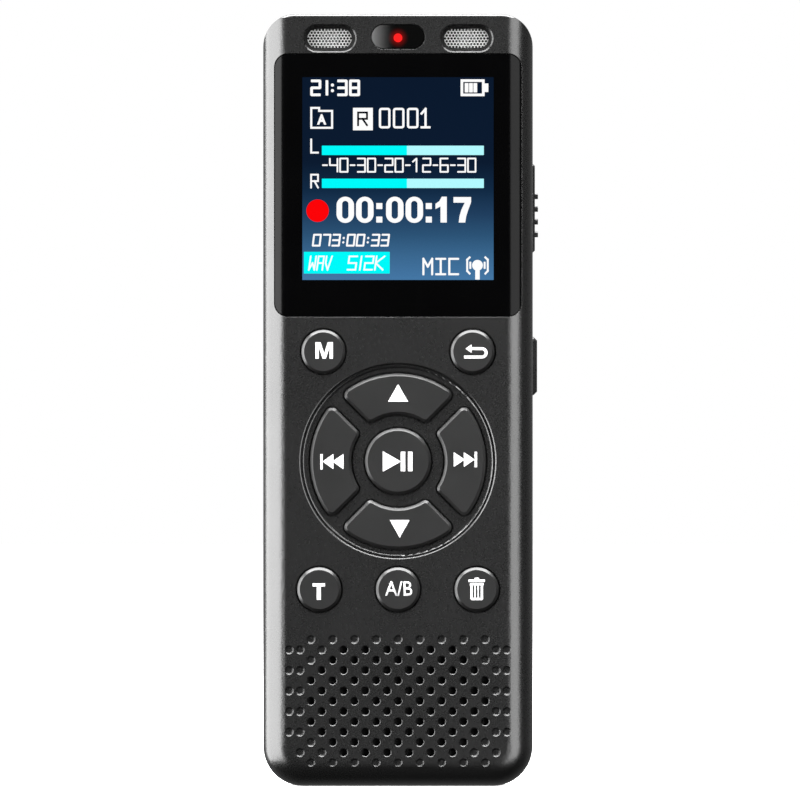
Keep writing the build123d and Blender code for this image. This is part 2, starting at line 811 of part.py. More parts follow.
# The cone is a flat surround with an oval dish hanging from it down to the coil.
cone_front_y = gasket_back_y + 4 * assembly_gap
cone_back_y = cone_front_y + cone_depth
cone_half_width = speaker_width / 2 - speaker_wall - 2 * assembly_gap
cone_half_height = speaker_height / 2 - speaker_wall - 2 * assembly_gap


def dish(inset, y_front, y_back, mode):
    """An oval dish that narrows to a circle at the coil."""
    with BuildSketch(facing_front(y_front, 0, grille_z)) as mouth:
        Ellipse(cone_half_width - 1 - inset, cone_half_height - 1 - inset)
    with BuildSketch(facing_front(y_back, 0, grille_z)) as floor:
        Circle(speaker_coil_radius - inset)
    loft([mouth.sketch, floor.sketch], mode=mode)


with BuildPart() as speaker_cone:
    block(0, grille_z, 2 * cone_half_width, 2 * cone_half_height,
          cone_front_y, cone_front_y + cone_skin, speaker_corner - speaker_wall)
    dish(0.0, cone_front_y, cone_back_y, Mode.ADD)
    dish(cone_skin, cone_front_y, cone_back_y - cone_skin, Mode.SUBTRACT)

with BuildPart() as speaker_coil:
    post(0, grille_z, cone_back_y, speaker_back_y, speaker_coil_radius)
    post(0, grille_z, cone_back_y, speaker_back_y, speaker_coil_radius - cone_skin, Mode.SUBTRACT)

with BuildPart() as speaker_magnet:
    post(0, grille_z, speaker_back_y, speaker_back_y + speaker_magnet_depth, speaker_magnet_radius)

# ---------------------------------------------------------------- indicator
with BuildPart() as indicator_lens:
    capsule(0, indicator_z, indicator_width - 2 * assembly_gap, indicator_height - 2 * assembly_gap,
            front_y, flange_front_y)
    block(0, indicator_z, indicator_width + 2 * indicator_flange_reach,
          indicator_flange_height,
          flange_front_y, flange_front_y + indicator_flange_thickness)

with BuildPart() as indicator_led:
    block(0, indicator_z, indicator_led_width, indicator_led_height,
          board_front_y - indicator_led_thickness, board_front_y)

# ---------------------------------------------------------------- side button and slide knob
with BuildPart() as side_button:
    side_block(side_control_y, button_z, button_height, button_length,
               button_flange_x, half_width + button_proud, button_corner)
    chamfer(side_button.faces().sort_by(Axis.X)[-1].edges(), button_proud * control_edge)
    side_block(side_control_y, button_z, button_height + 2 * button_flange_side,
               button_length + 2 * button_flange_end,
               button_flange_x - flange_thickness, button_flange_x)

with BuildPart() as side_switch:
    side_block(board_rear_y + side_switch_height / 2, button_z, side_switch_height,
               side_switch_length, side_switch_x, switch_front_x - side_switch_stroke)
    side_post(side_control_y, button_z, side_switch_plunger_radius,
              switch_front_x - side_switch_stroke, switch_front_x)

with BuildPart() as slide_knob:
    side_block(side_control_y, knob_z, knob_height, knob_length,
               knob_seat_x + assembly_gap, half_width + knob_proud, knob_corner)
    chamfer(slide_knob.faces().sort_by(Axis.X)[-1].edges(), knob_proud * control_edge)
    first_ridge_z = knob_z + ridge_shift - ridge_pitch * (ridge_count - 1) / 2
    for ridge in range(ridge_count):
        side_block(side_control_y, first_ridge_z + ridge * ridge_pitch,
                   knob_height - 2 * ridge_side_margin, ridge_width,
                   half_width, half_width + ridge_proud, ridge_corner)
    side_block(side_control_y, knob_z, stem_height, stem_length,
               inner_half_width - 2 * assembly_gap, knob_seat_x + assembly_gap)
    side_block(side_control_y, knob_z, stem_height + 2 * knob_flange_side,
               stem_length + 2 * knob_flange_end,
               button_flange_x - flange_thickness, button_flange_x)
    prong_offset = (lever_width + prong_length) / 2 + lever_gap
    for side in (-1, 1):
        side_block(side_control_y, knob_z + side * prong_offset, stem_height, prong_length,
                   switch_front_x - prong_reach, button_flange_x - flange_thickness)

# The lever of the board's slide switch moves with the knob, between its two prongs.
with BuildPart() as slide_switch_lever:
    side_block(side_control_y, knob_z, lever_height, lever_width,
               switch_front_x - lever_length, button_flange_x - flange_thickness - assembly_gap)

switch_body_x = switch_front_x - side_switch_stroke
switch_slot_length = lever_width + knob_travel
with BuildPart() as slide_switch_body:
    side_block(board_rear_y + side_switch_height / 2, knob_z - knob_travel / 2, side_switch_height,
               switch_slot_length + 2 * slide_body_margin,
               switch_body_x - slide_body_depth, switch_body_x)
    side_block(side_control_y, knob_z - knob_travel / 2, lever_height + 2 * slide_slot_gap,
               switch_slot_length + 3 * slide_slot_gap,
               switch_body_x - slide_slot_depth, switch_body_x, mode=Mode.SUBTRACT)

# ---------------------------------------------------------------- sockets
usb_mouth_x = -half_width + usb_sunk
usb_end_x = usb_mouth_x + usb_depth
with BuildPart() as usb_shell:
    side_capsule(usb_y, usb_z, usb_height, usb_width, usb_mouth_x, usb_end_x)
    side_capsule(usb_y, usb_z, usb_height - 2 * usb_wall, usb_width - 2 * usb_wall,
                 usb_mouth_x, usb_end_x, Mode.SUBTRACT)

with BuildPart() as usb_tongue:
    side_capsule(usb_y, usb_z, usb_height - 2 * usb_wall - assembly_gap,
                 usb_width - 2 * usb_wall - assembly_gap, usb_end_x - usb_tongue_root, usb_end_x)
    side_block(usb_y, usb_z, usb_tongue_thickness, usb_tongue_width,
               usb_mouth_x + usb_tongue_sunk, usb_end_x - usb_tongue_root, usb_tongue_corner)

jack_body_x = -inner_half_width + assembly_gap
with BuildPart() as headphone_jack:
    side_block(jack_y, jack_z, jack_body_thickness, jack_body_height,
               jack_body_x, jack_body_x + jack_body_length, jack_body_corner)
    side_post(jack_y, jack_z, jack_nose_radius, -half_width, jack_body_x)
    side_post(jack_y, jack_z, jack_bore_radius, -half_width, -half_width + jack_bore_depth,
              Mode.SUBTRACT)

with BuildPart() as jack_terminals:
    terminal_offset = (jack_body_height + jack_terminal_length) / 2
    for place in jack_terminal_places:
        for side in (-1, 1):
            block(jack_body_x + place, jack_z + side * terminal_offset, jack_terminal_width,
                  jack_terminal_length, board_rear_y, board_rear_y + jack_terminal_thickness)

# ---------------------------------------------------------------- battery
with BuildPart() as battery_cell:
    block(0, battery_z, battery_width, battery_length, battery_front_y, battery_back_y)
    fillet(battery_cell.edges().filter_by(Axis.Z), battery_corner)

with BuildPart() as battery_tape:
    block(0, battery_z, battery_width - 2 * battery_tape_side_margin,
          battery_length - 2 * battery_tape_end_margin, battery_back_y, inner_rear_y)

battery_circuit_top_z = battery_top_z + battery_circuit_length
battery_circuit_y = (battery_front_y + battery_back_y) / 2
with BuildPart() as battery_circuit:
    block(0, battery_top_z + battery_circuit_length / 2,
          battery_width - 2 * battery_circuit_margin, battery_circuit_length,
          battery_circuit_y - battery_circuit_thickness / 2,
          battery_circuit_y + battery_circuit_thickness / 2)

connector_bottom_z = battery_circuit_top_z + connector_gap
with BuildPart() as battery_connector:
    block(connector_x, connector_bottom_z + connector_length / 2, connector_width,
          connector_length, board_rear_y, board_rear_y + connector_height)


def lead(x, points, bend):
    """One insulated wire in the plane x, through points given as (y, z)."""
    with BuildPart() as wire:
        with BuildLine() as path:
            FilletPolyline(*[(x, y, z) for y, z in points], radius=bend)
        with BuildSketch(Plane(origin=path.line @ 0, z_dir=path.line % 0)):
            Circle(lead_radius)
        sweep()
    return wire.part


battery_lead_route = [
    (battery_circuit_y, battery_circuit_top_z),
    (battery_circuit_y, battery_circuit_top_z + battery_lead_rise),
    (board_rear_y + connector_height / 2, battery_circuit_top_z + battery_lead_rise),
    (board_rear_y + connector_height / 2, connector_bottom_z),
]
speaker_lead_y = speaker_back_y - speaker_lead_depth
board_pad_y = board_rear_y + lead_radius + assembly_gap
speaker_lead_route = [
    (speaker_lead_y, speaker_top_z),
    (speaker_lead_y, speaker_top_z + speaker_lead_rise),
    (board_pad_y, speaker_top_z + speaker_lead_rise),
    (board_pad_y, board_bottom_z + speaker_lead_reach),
]
battery_leads = [
    lead(connector_x + side * battery_lead_offset, battery_lead_route, lead_bend) for side in (-1, 1)
]
speaker_leads = [
    lead(side * speaker_lead_offset, speaker_lead_route, lead_bend) for side in (-1, 1)
]

# ---------------------------------------------------------------- screws
with BuildPart() as case_screws:
    with Locations(*[facing_rear(rear_y - assembly_gap, x, z) for x, z in boss_places]):
        Cylinder(screw_radius, screw_length - board_gap,
                 align=(Align.CENTER, Align.CENTER, Align.MAX))
        Cone(screw_radius, screw_head_radius, screw_head_radius - screw_radius,
             align=(Align.CENTER, Align.CENTER, Align.MAX))
        Box(screw_drive_width, screw_drive_slot, 2 * screw_drive_depth, mode=Mode.SUBTRACT)
        Box(screw_drive_slot, screw_drive_width, 2 * screw_drive_depth, mode=Mode.SUBTRACT)

with BuildPart() as board_screws:
    for x, z in standoff_places:
        post(x, z, board_front_y - board_screw_reach, board_rear_y, board_screw_radius)
        post(x, z, board_rear_y, board_rear_y + board_screw_head_height, board_screw_head_radius)


# ---------------------------------------------------------------- microphones
def microphone_mesh(x):
    """The metal mesh plate that closes a microphone mouth from behind."""
    with BuildPart() as mesh:
        capsule(x, microphone_z, microphone_view_width + 2 * mesh_rim - 2 * assembly_gap,
                microphone_view_height + 2 * mesh_rim - 2 * assembly_gap,
                mesh_back_y - mesh_thickness, mesh_back_y)
    return mesh.part


def microphone_boot(x):
    """The rubber block between the wall and the board that holds a microphone."""
    with BuildPart() as boot:
        block(x, microphone_z, boot_width, boot_height, inner_front_y, board_front_y, boot_corner)
        post(x, microphone_z, inner_front_y, board_front_y, capsule_radius + assembly_gap,
             Mode.SUBTRACT)
    return boot.part


def microphone_capsule(x):
    """The round microphone, its back on the board."""
    with BuildPart() as microphone:
        post(x, microphone_z, board_front_y - capsule_depth, board_front_y, capsule_radius)
    return microphone.part


# ---------------------------------------------------------------- write every piece
os.makedirs("parts", exist_ok=True)

save(front_shell.part, "front_shell")
save(rear_shell.part, "rear_shell")
save(display_window.part, "display_window")
save(display_panel.part, "display_panel")
save(display_backlight.part, "display_backlight")
save(display_tape.part, "display_tape")
save(display_flex.part, "display_flex")
save(main_board.part, "main_board")
save(chip(*processor_size), "processor_chip")
save(chip(*memory_size), "memory_chip")
save(chip(*crystal_size), "quartz_crystal")
save(amplifier_chip.part, "amplifier_chip")
save(board_capacitors.part, "board_capacitors")
save(keypad_membrane.part, "keypad_membrane")
save(key_domes.part, "key_domes")
save(speaker_cloth.part, "speaker_cloth")
save(speaker_gasket.part, "speaker_gasket")
save(speaker_frame.part, "speaker_frame")
save(speaker_cone.part, "speaker_cone")
save(speaker_coil.part, "speaker_coil")
save(speaker_magnet.part, "speaker_magnet")
save(indicator_lens.part, "indicator_lens")
save(indicator_led.part, "indicator_led")
save(side_button.part, "side_button")
save(side_switch.part, "side_switch")
save(slide_knob.part, "slide_knob")
save(slide_switch_lever.part, "slide_switch_lever")
save(slide_switch_body.part, "slide_switch_body")
save(usb_shell.part, "usb_shell")
save(usb_tongue.part, "usb_tongue")
save(headphone_jack.part, "headphone_jack")
save(jack_terminals.part, "jack_terminals")
save(battery_cell.part, "battery_cell")
save(battery_tape.part, "battery_tape")
save(battery_circuit.part, "battery_circuit")
save(battery_connector.part, "battery_connector")
save(Compound(children=battery_leads), "battery_leads")
save(Compound(children=speaker_leads), "speaker_leads")
save(case_screws.part, "case_screws")
save(board_screws.part, "board_screws")

for side, x in (("left", -microphone_x), ("right", microphone_x)):
    save(microphone_mesh(x), f"microphone_mesh_{side}")
    save(microphone_boot(x), f"microphone_boot_{side}")
    save(microphone_capsule(x), f"microphone_capsule_{side}")

for name, x, z, radius in round_keys:
    save(round_key(x, z, radius, front_y - key_proud, flange_reach), name)
for name, turn in sector_keys:
    save(sector_key(turn, front_y + pad_key_sunk), name)
save(round_key(0.0, pad_z, play_key_radius, front_y + pad_key_sunk, sector_flange_reach), "key_play")
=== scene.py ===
from math import atan2, pi, radians, tan

import bpy
from mathutils import Color, Matrix, Vector


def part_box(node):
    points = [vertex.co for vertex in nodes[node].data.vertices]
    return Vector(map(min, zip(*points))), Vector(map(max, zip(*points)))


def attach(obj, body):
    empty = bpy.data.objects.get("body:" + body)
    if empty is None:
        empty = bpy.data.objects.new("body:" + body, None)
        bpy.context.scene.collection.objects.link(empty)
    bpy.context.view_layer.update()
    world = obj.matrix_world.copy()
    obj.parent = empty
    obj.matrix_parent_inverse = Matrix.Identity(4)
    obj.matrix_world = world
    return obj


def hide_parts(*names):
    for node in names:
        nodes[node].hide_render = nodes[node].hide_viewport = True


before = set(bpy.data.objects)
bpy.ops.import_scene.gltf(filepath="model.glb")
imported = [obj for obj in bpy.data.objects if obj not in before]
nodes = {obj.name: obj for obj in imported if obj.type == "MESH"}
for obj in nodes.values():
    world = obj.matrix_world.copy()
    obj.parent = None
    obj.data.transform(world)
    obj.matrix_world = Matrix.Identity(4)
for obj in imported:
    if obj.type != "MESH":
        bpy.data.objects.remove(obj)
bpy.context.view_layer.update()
bpy.ops.object.select_all(action="DESELECT")

# ---------------------------------------------------------------- camera
# A very long lens on a level camera, straight in front of the face and half way up it, as a
# catalogue view of such a recorder is taken.
mm = 0.001
face_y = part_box("front_shell")[0].y
camera_distance = 1800 * mm
camera_shift = 0.27 * mm
camera_z = 51.56 * mm

bpy.ops.object.camera_add(
    location=(camera_shift, face_y - camera_distance, camera_z), rotation=(radians(90), 0, 0)
)
camera = bpy.context.object
camera.data.lens = 607.5
camera.data.sensor_width = 36
bpy.context.scene.camera = camera
bpy.context.scene.view_settings.view_transform = "Standard"


# ---------------------------------------------------------------- metal case
# Two pressed aluminium halves, bead-blasted and anodised dark grey. The blasting leaves a fine
# leathery grain, and handling leaves faint cloudy patches and a paler line on the hard edges.
class Wire:
    """An output of a finish's node. Arithmetic between wires adds Math nodes."""

    def __init__(self, finish, socket):
        self.finish = finish
        self.socket = socket

    def maths(self, operation, first, second=0.0, clamp=False):
        settings = {"operation": operation, "use_clamp": clamp}
        return self.finish.node("Math", settings, {0: first, 1: second})

    def __add__(self, other):
        return self.maths("ADD", self, other)

    def __sub__(self, other):
        return self.maths("SUBTRACT", self, other)

    def __rsub__(self, other):
        return self.maths("SUBTRACT", other, self)

    def __mul__(self, other):
        return self.maths("MULTIPLY", self, other)

    def __abs__(self):
        return self.maths("ABSOLUTE", self)

    def over(self, limit):
        return self.maths("GREATER_THAN", self, limit)

    def clamped(self):
        return self.maths("ADD", self, 0.0, True)

    __radd__ = __add__
    __rmul__ = __mul__


class Finish:
    """A procedural finish: one shader, the plain values set on it and the nodes that feed it."""

    def __init__(self, name, values):
        self.material = bpy.data.materials.new(name)
        self.material.use_nodes = True
        self.tree = self.material.node_tree
        self.shader = self.tree.nodes["Principled BSDF"]
        self.feed(self.shader, values)
        self.place = self.node("TexCoord", output="Object")

    def feed(self, node, values):
        for socket, value in values.items():
            if isinstance(value, Wire):
                self.tree.links.new(value.socket, node.inputs[socket])
            else:
                node.inputs[socket].default_value = value

    def node(self, kind, settings=None, values=None, output=0):
        made = self.tree.nodes.new("ShaderNode" + kind)
        for setting, value in (settings or {}).items():
            if setting == "stops":
                for _ in value[2:]:
                    made.color_ramp.elements.new(0.5)
                for stop, (position, colour) in zip(made.color_ramp.elements, value):
                    stop.position = position
                    stop.color = colour
            else:
                setattr(made, setting, value)
        self.feed(made, values or {})
        return Wire(self, made.outputs[output])

    def noise(self, size, detail=2.0, place=None):
        values = {"Vector": place or self.place, "Scale": 1 / size, "Detail": detail}
        return self.node("TexNoise", {}, values)

    def part(self, axis, place=None):
        return self.node("SeparateXYZ", {}, {"Vector": place or self.place}, axis)

    def stretched(self, across, deep, long):
        return self.node("Mapping", {}, {"Vector": self.place, "Scale": (across, deep, long)})

    def mix(self, factor, first, second):
        return self.node("Mix", {"data_type": "RGBA"}, {0: factor, 6: first, 7: second}, 2)

    def paint(self, colour=None, roughness=None, height=None):
        """Feed the shader: a colour, a roughness and a surface height in metres."""
        if colour:
            self.feed(self.shader, {"Base Color": colour})
        if roughness:
            self.feed(self.shader, {"Roughness": roughness})
        if height:
            bump = self.node("Bump", {}, {"Height": height, "Strength": 1.0, "Distance": 1.0})
            self.feed(self.shader, {"Normal": bump})

    def dress(self, *names):
        """Give this finish to CAD pieces, whose record already names its slot."""
        for name in names:
            for slot in nodes[name].material_slots:
                slot.material = self.material


def shade(red, green, blue):
    """A colour on the 0 to 255 scale of a screen, as a shader takes it."""
    return (*Color((red / 255, green / 255, blue / 255)).from_srgb_to_scene_linear(), 1.0)


case_half_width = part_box("front_shell")[1].x
blast_grain = 0.28 * mm
blast_depth = 0.007 * mm
crease_size = 1.0 * mm
crease_depth = 0.019 * mm
worn_edge = 0.25 * mm
worn_colour = (0.30, 0.30, 0.31, 1)

shell_metal = Finish("shell_metal", {"Metallic": 0.9})
grain = shell_metal.noise(blast_grain, 3.0)
creases = shell_metal.noise(crease_size, 4.0, shell_metal.stretched(1.6, 1, 0.7))
clouds = shell_metal.noise(11 * mm, 3.0)
edge = (abs(shell_metal.part("X")) - (case_half_width - worn_edge)) * (1 / worn_edge)
wear = (edge.clamped() * clouds * 0.25).clamped()
anodised = shell_metal.mix(clouds, (0.084, 0.084, 0.084, 1), (0.102, 0.102, 0.102, 1))
shell_metal.paint(
    shell_metal.mix(wear, anodised, worn_colour),
    0.238 + grain * 0.05 + clouds * 0.03,
    grain * blast_depth + creases * crease_depth,
)
shell_metal.dress("front_shell", "rear_shell", "side_button", "slide_knob")


# ---------------------------------------------------------------- window
# A black-printed acrylic plate set flush in the case, its long edges bent back with the metal.
# It is hard-coated, so it is glossy, with hairline marks from wiping.
window_acrylic = Finish("window_acrylic", {"IOR": 1.49, "Specular IOR Level": 0.14})
marks = window_acrylic.noise(0.9 * mm, 4.0, window_acrylic.stretched(1, 1, 0.05))
haze = window_acrylic.noise(7 * mm)
window_acrylic.paint(
    window_acrylic.mix(haze, (0.0008, 0.0008, 0.0009, 1), (0.0014, 0.0014, 0.0015, 1)),
    0.13 + marks.over(0.66) * 0.04 + haze * 0.04,
    haze * 0.004 * mm,
)
window_acrylic.dress("display_window")


# ---------------------------------------------------------------- lit picture
# The picture of the colour display, as it shows through the clear middle of the window: a blue
# ground, a clock, two level bars, the recording time and the time that is left.
window_low, window_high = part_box("display_window")
panel_low, panel_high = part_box("display_panel")
picture_width = 25.5 * mm
picture_height = 27.03 * mm
picture_rise = 0.885 * mm
picture_left = -picture_width / 2
picture_bottom = (panel_low.z + panel_high.z) / 2 + picture_rise - picture_height / 2
sheet_thickness = 0.012 * mm
picture_y = window_low.y
figures_y = picture_y - sheet_thickness
top_figures_y = figures_y - sheet_thickness
dot_size = 0.21 * mm
dot_dimming = 0.08
picture_brightness = 1.04


def lit(name, colour):
    """A finish that only gives light, as a display's dots do, faintly uneven from dot to dot."""
    black = {"Base Color": (0, 0, 0, 1), "Roughness": 0.6, "Specular IOR Level": 0.0, "IOR": 1.0}
    finish = Finish(name, black)
    unevenness = finish.noise(dot_size, 0.0, finish.stretched(1, 0, 1)) * dot_dimming
    light = colour(finish) if callable(colour) else colour
    dots = finish.mix(unevenness, light, (0, 0, 0, 1))
    values = {"Emission Color": dots, "Emission Strength": picture_brightness}
    finish.feed(finish.shader, values)
    return finish


def ground_colour(finish):
    """Night blue over the upper half, clearing to a lighter blue at the foot."""
    height = (finish.part("Z") - picture_bottom) * (1 / picture_height)
    stops = [
        (0.00, shade(69, 119, 165)), (0.12, shade(58, 103, 143)), (0.22, shade(44, 83, 118)),
        (0.32, shade(33, 63, 95)), (0.44, shade(18, 42, 68)), (0.58, shade(12, 27, 48)),
        (1.00, shade(11, 25, 45)),
    ]
    return finish.node("ValToRGB", {"stops": stops}, {"Fac": height})


def select_only(*pieces):
    bpy.ops.object.select_all(action="DESELECT")
    for piece in pieces:
        piece.select_set(True)
    bpy.context.view_layer.objects.active = pieces[0]


def finished(parts, name, finish, body="case"):
    """Join flat or solid parts into one named piece at the origin, with its finish and its body."""
    select_only(*parts)
    if len(parts) > 1:
        bpy.ops.object.join()
    piece = bpy.context.object
    bpy.ops.object.transform_apply(location=True, rotation=True, scale=True)
    piece.name = name
    piece.data.name = name
    piece.data.materials.clear()
    piece.data.materials.append(finish.material)
    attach(piece, body)
    return piece


def thickened(piece, thickness):
    """Give a flat piece that faces the user a thickness, forward of where it lies."""
    solid = piece.modifiers.new("thickness", "SOLIDIFY")
    solid.thickness = thickness
    solid.offset = 1.0
    select_only(piece)
    bpy.ops.object.modifier_apply(modifier=solid.name)
    return piece


def upright(x, y, z):
    """What stands a shape drawn in the XY plane up at a place, to face the user."""
    return Matrix.Translation((x, y, z)) @ Matrix.Rotation(radians(90), 4, "X")


def fitted(piece, left, right, bottom, top, y):
    """Stretch a flat piece drawn in the XY plane to a box in the plane that faces the user."""
    corners = [vertex.co for vertex in piece.data.vertices]
    low = Vector((min(c.x for c in corners), min(c.y for c in corners), 0))
    high = Vector((max(c.x for c in corners), max(c.y for c in corners), 0))
    across = (right - left) / (high.x - low.x)
    along = (top - bottom) / (high.y - low.y)
    piece.data.transform(
        upright(left, y, bottom)
        @ Matrix.Diagonal((across, along, 1, 1))
        @ Matrix.Translation(-low)
    )
    return piece


def panel(left, right, bottom, top, y):
    """A flat rectangle with its corners just broken."""
    bpy.ops.mesh.primitive_plane_add(size=1)
    piece = fitted(bpy.context.object, left, right, bottom, top, y)
    bpy.ops.object.mode_set(mode="EDIT")
    bpy.ops.mesh.bevel(offset=0.03 * mm, affect="VERTICES")
    bpy.ops.object.mode_set(mode="OBJECT")
    return piece


def disc(x, z, radius, y, sides=32):
    """A flat round."""
    bpy.ops.mesh.primitive_circle_add(vertices=sides, radius=1, fill_type="NGON")
    return fitted(bpy.context.object, x - radius, x + radius, z - radius, z + radius, y)


def words(text, left, right, bottom, top, y, weight):
    """Lettering in a plain upright face, stretched to its place."""
    bpy.ops.object.text_add()
    letters = bpy.context.object
    letters.data.body = text
    letters.data.offset = weight
    letters.data.resolution_u = 6
    select_only(letters)
    bpy.ops.object.convert(target="MESH")
    return fitted(bpy.context.object, left, right, bottom, top, y)


def faced_up(piece):
    """Point all the faces of a flat piece that is being edited up, and stop editing it."""
    bpy.ops.mesh.select_all(action="SELECT")
    bpy.ops.mesh.normals_make_consistent()
    bpy.ops.object.mode_set(mode="OBJECT")
    if piece.data.polygons[0].normal.z < 0:
        piece.data.flip_normals()
    return piece


def nought(left, right, bottom, top, y, side, end):
    """A bold nought: two long rounds bridged, the walls thicker at the sides than at the ends."""
    bpy.ops.mesh.primitive_circle_add(vertices=40, radius=(right - left) / 2)
    piece = bpy.context.object
    outer_rise = (top - bottom - (right - left)) / 2
    inner_radius = (right - left) / 2 - side
    inner_rise = (top - bottom) / 2 - end - inner_radius
    for vertex in piece.data.vertices:
        vertex.co.y += outer_rise if vertex.co.y > 0 else -outer_rise
    outer_count = len(piece.data.vertices)
    bpy.ops.object.mode_set(mode="EDIT")
    bpy.ops.mesh.primitive_circle_add(vertices=40, radius=inner_radius)
    bpy.ops.object.mode_set(mode="OBJECT")
    for vertex in piece.data.vertices[outer_count:]:
        vertex.co.y += inner_rise if vertex.co.y > 0 else -inner_rise
    bpy.ops.object.mode_set(mode="EDIT")
    bpy.ops.mesh.select_all(action="SELECT")
    bpy.ops.mesh.bridge_edge_loops()
    return fitted(faced_up(piece), left, right, bottom, top, y)


def slab(x, z, outline, y):
    """A flat shape: a round pulled to the corners of an outline, which is given anticlockwise in
    millimetres from a place."""
    bpy.ops.mesh.primitive_circle_add(vertices=len(outline), radius=1, fill_type="NGON")
    piece = bpy.context.object
    for vertex, (across, up) in zip(piece.data.vertices, outline):
        vertex.co = (x + across * mm, z + up * mm, 0)
    piece.data.transform(upright(0, y, 0))
    return piece


def ring(left, right, bottom, top, y, stroke, corner):
    """A flat rounded frame: a rectangle with round corners, inset, its middle taken out."""
    bpy.ops.mesh.primitive_plane_add(size=1)
    piece = fitted(bpy.context.object, left, right, bottom, top, y)
    bpy.ops.object.mode_set(mode="EDIT")
    bpy.ops.mesh.bevel(offset=corner, segments=4, affect="VERTICES")
    bpy.ops.mesh.select_all(action="SELECT")
    bpy.ops.mesh.inset(thickness=stroke)
    bpy.ops.mesh.delete(type="FACE")
    bpy.ops.object.mode_set(mode="OBJECT")
    return piece


# Figures are drawn with bars between the points of a lattice, two steps wide and four high. Each
# stroke names its two ends, column then row, as in "00-04" for the whole left side. The small
# letters i, j and l are other forms of the figure 1: with a foot, with a nose and plain.
figure_strokes = {
    "0": "00-02 02-04 04-24 24-22 22-20 20-00", "1": "20-22 22-24",
    "2": "04-24 24-22 22-02 02-00 00-20", "3": "04-24 24-22 22-02 22-20 20-00",
    "4": "04-02 02-22 24-22 22-20", "5": "24-04 04-02 02-22 22-20 20-00",
    "6": "24-04 04-02 02-00 00-20 20-22 22-02", "7": "04-24 24-22 22-20",
    "8": "00-02 02-04 04-24 24-22 22-20 20-00 02-22", "-": "02-22", "A": "00-04 04-24 24-20 02-22",
    "C": "24-04 04-00 00-20", "I": "04-24 14-10 00-20", "K": "00-04 02-24 02-20",
    "L": "04-00 00-20", "M": "00-04 04-12 12-24 24-20", "R": "00-04 04-24 24-22 22-02 12-20",
    "V": "04-02 02-10 10-24", "W": "04-00 00-12 12-20 20-24",
    "i": "03-14 14-10 00-20", "j": "03-14 14-10", "l": "10-14",
}


def bar(start, end, weight, y, gap=0.0):
    """A flat bar with broken ends from one point to another, short of both by gap."""
    run = Vector((end[0] - start[0], end[1] - start[1]))
    piece = unit_bar.copy()
    piece.data = unit_bar.data.copy()
    bpy.context.collection.objects.link(piece)
    piece.data.transform(
        Matrix.Translation(((start[0] + end[0]) / 2, y, (start[1] + end[1]) / 2))
        @ Matrix.Rotation(-atan2(run.y, run.x), 4, "Y")
        @ Matrix.Diagonal((run.length + weight - 2 * gap, 1, weight, 1))
    )
    return piece


def figures(
    text, left, right, bottom, top, y, weight, gap=0.0, slant=0.0, space=0.5, narrow=None
):
    """A row of barred figures between two sides, with a space between them in bar widths. The
    figures named in narrow have that share of a full width."""
    narrow = {":": 0.35, "-": 0.6, **(narrow or {})}
    steps = [narrow.get(figure, 1) for figure in text]
    between = (1 + space) * weight
    step = (right - left - weight - between * (len(text) - 1)) / sum(steps)
    height = top - bottom - weight
    start = left + weight / 2
    parts = []
    for figure, wide in zip(text, steps):
        if figure == ":":
            middle = start + wide * step / 2
            for level in (0.3, 0.7):
                dot_z = bottom + weight / 2 + level * height
                parts.append(disc(middle, dot_z, 0.6 * weight, y, 12))
        for stroke in figure_strokes.get(figure, "").split():
            ends = []
            for column, row in stroke.split("-"):
                x = start + int(column) / 2 * wide * step
                ends.append((x, bottom + weight / 2 + int(row) / 4 * height))
            parts.append(bar(*ends, weight, y, gap))
        start += wide * step + between
    if slant:
        lean = (
            Matrix.Translation((0, 0, bottom))
            @ Matrix.Shear("XY", 4, (slant, 0))
            @ Matrix.Translation((0, 0, -bottom))
        )
        for part in parts:
            part.data.transform(lean)
    return parts


def on_picture(*lengths):
    """Left, right, bottom and top in millimetres from the picture's lower left corner, in place."""
    places = (picture_left, picture_left, picture_bottom, picture_bottom)
    return [place + length * mm for place, length in zip(places, lengths)]


def panels(*sides):
    """Flat rectangles among the figures, each given by its four sides on the picture."""
    return [panel(*on_picture(*lengths), figures_y) for lengths in sides]


bpy.ops.mesh.primitive_plane_add(size=1)
unit_bar = bpy.context.object
bpy.ops.object.mode_set(mode="EDIT")
bpy.ops.mesh.bevel(offset=0.08, affect="VERTICES")
bpy.ops.object.mode_set(mode="OBJECT")
unit_bar.data.transform(Matrix.Rotation(radians(90), 4, "X"))

picture_blue = lit("picture_blue", ground_colour)
picture_white = lit("picture_white", shade(255, 255, 255))
picture_cyan = lit("picture_cyan", shade(0, 250, 250))
picture_pale = lit("picture_pale", shade(178, 250, 255))
picture_red = lit("picture_red", shade(252, 4, 8))
picture_dark = lit("picture_dark", shade(6, 10, 18))

ground = panel(*on_picture(0, 25.5, 0, 27.03), picture_y)
ground = finished([thickened(ground, sheet_thickness)], "picture_ground", picture_blue)

clock = figures(
    "21:38", *on_picture(1.05, 7.7, 24.5, 26.72), figures_y, 0.36 * mm, gap=0.09 * mm,
    narrow={"1": 0.35},
)
battery_outline = panels(
    (21.1, 24.3, 26.4, 26.75), (21.1, 24.3, 24.5, 24.85), (21.1, 21.45, 24.5, 26.75),
    (23.95, 24.3, 24.5, 26.75), (24.3, 24.8, 25.05, 26.2),
)
charge_starts = (21.65, 22.23, 22.81)
battery_charge = panels(*[(start, start + 0.5, 25.0, 26.25) for start in charge_starts])
folder = panels(
    (1.05, 4.1, 20.15, 20.42), (1.05, 1.32, 20.15, 23.05), (3.83, 4.1, 20.15, 22.65),
    (2.1, 4.1, 22.4, 22.67), (1.05, 2.35, 22.8, 23.07), (2.1, 2.37, 22.4, 23.07),
)
folder.append(words("A", *on_picture(1.95, 3.2, 20.7, 22.1), figures_y, 0.045))
file_box = panels((6.75, 9.4, 19.95, 22.95))
file_stroke = 0.3 * mm
file_number = []
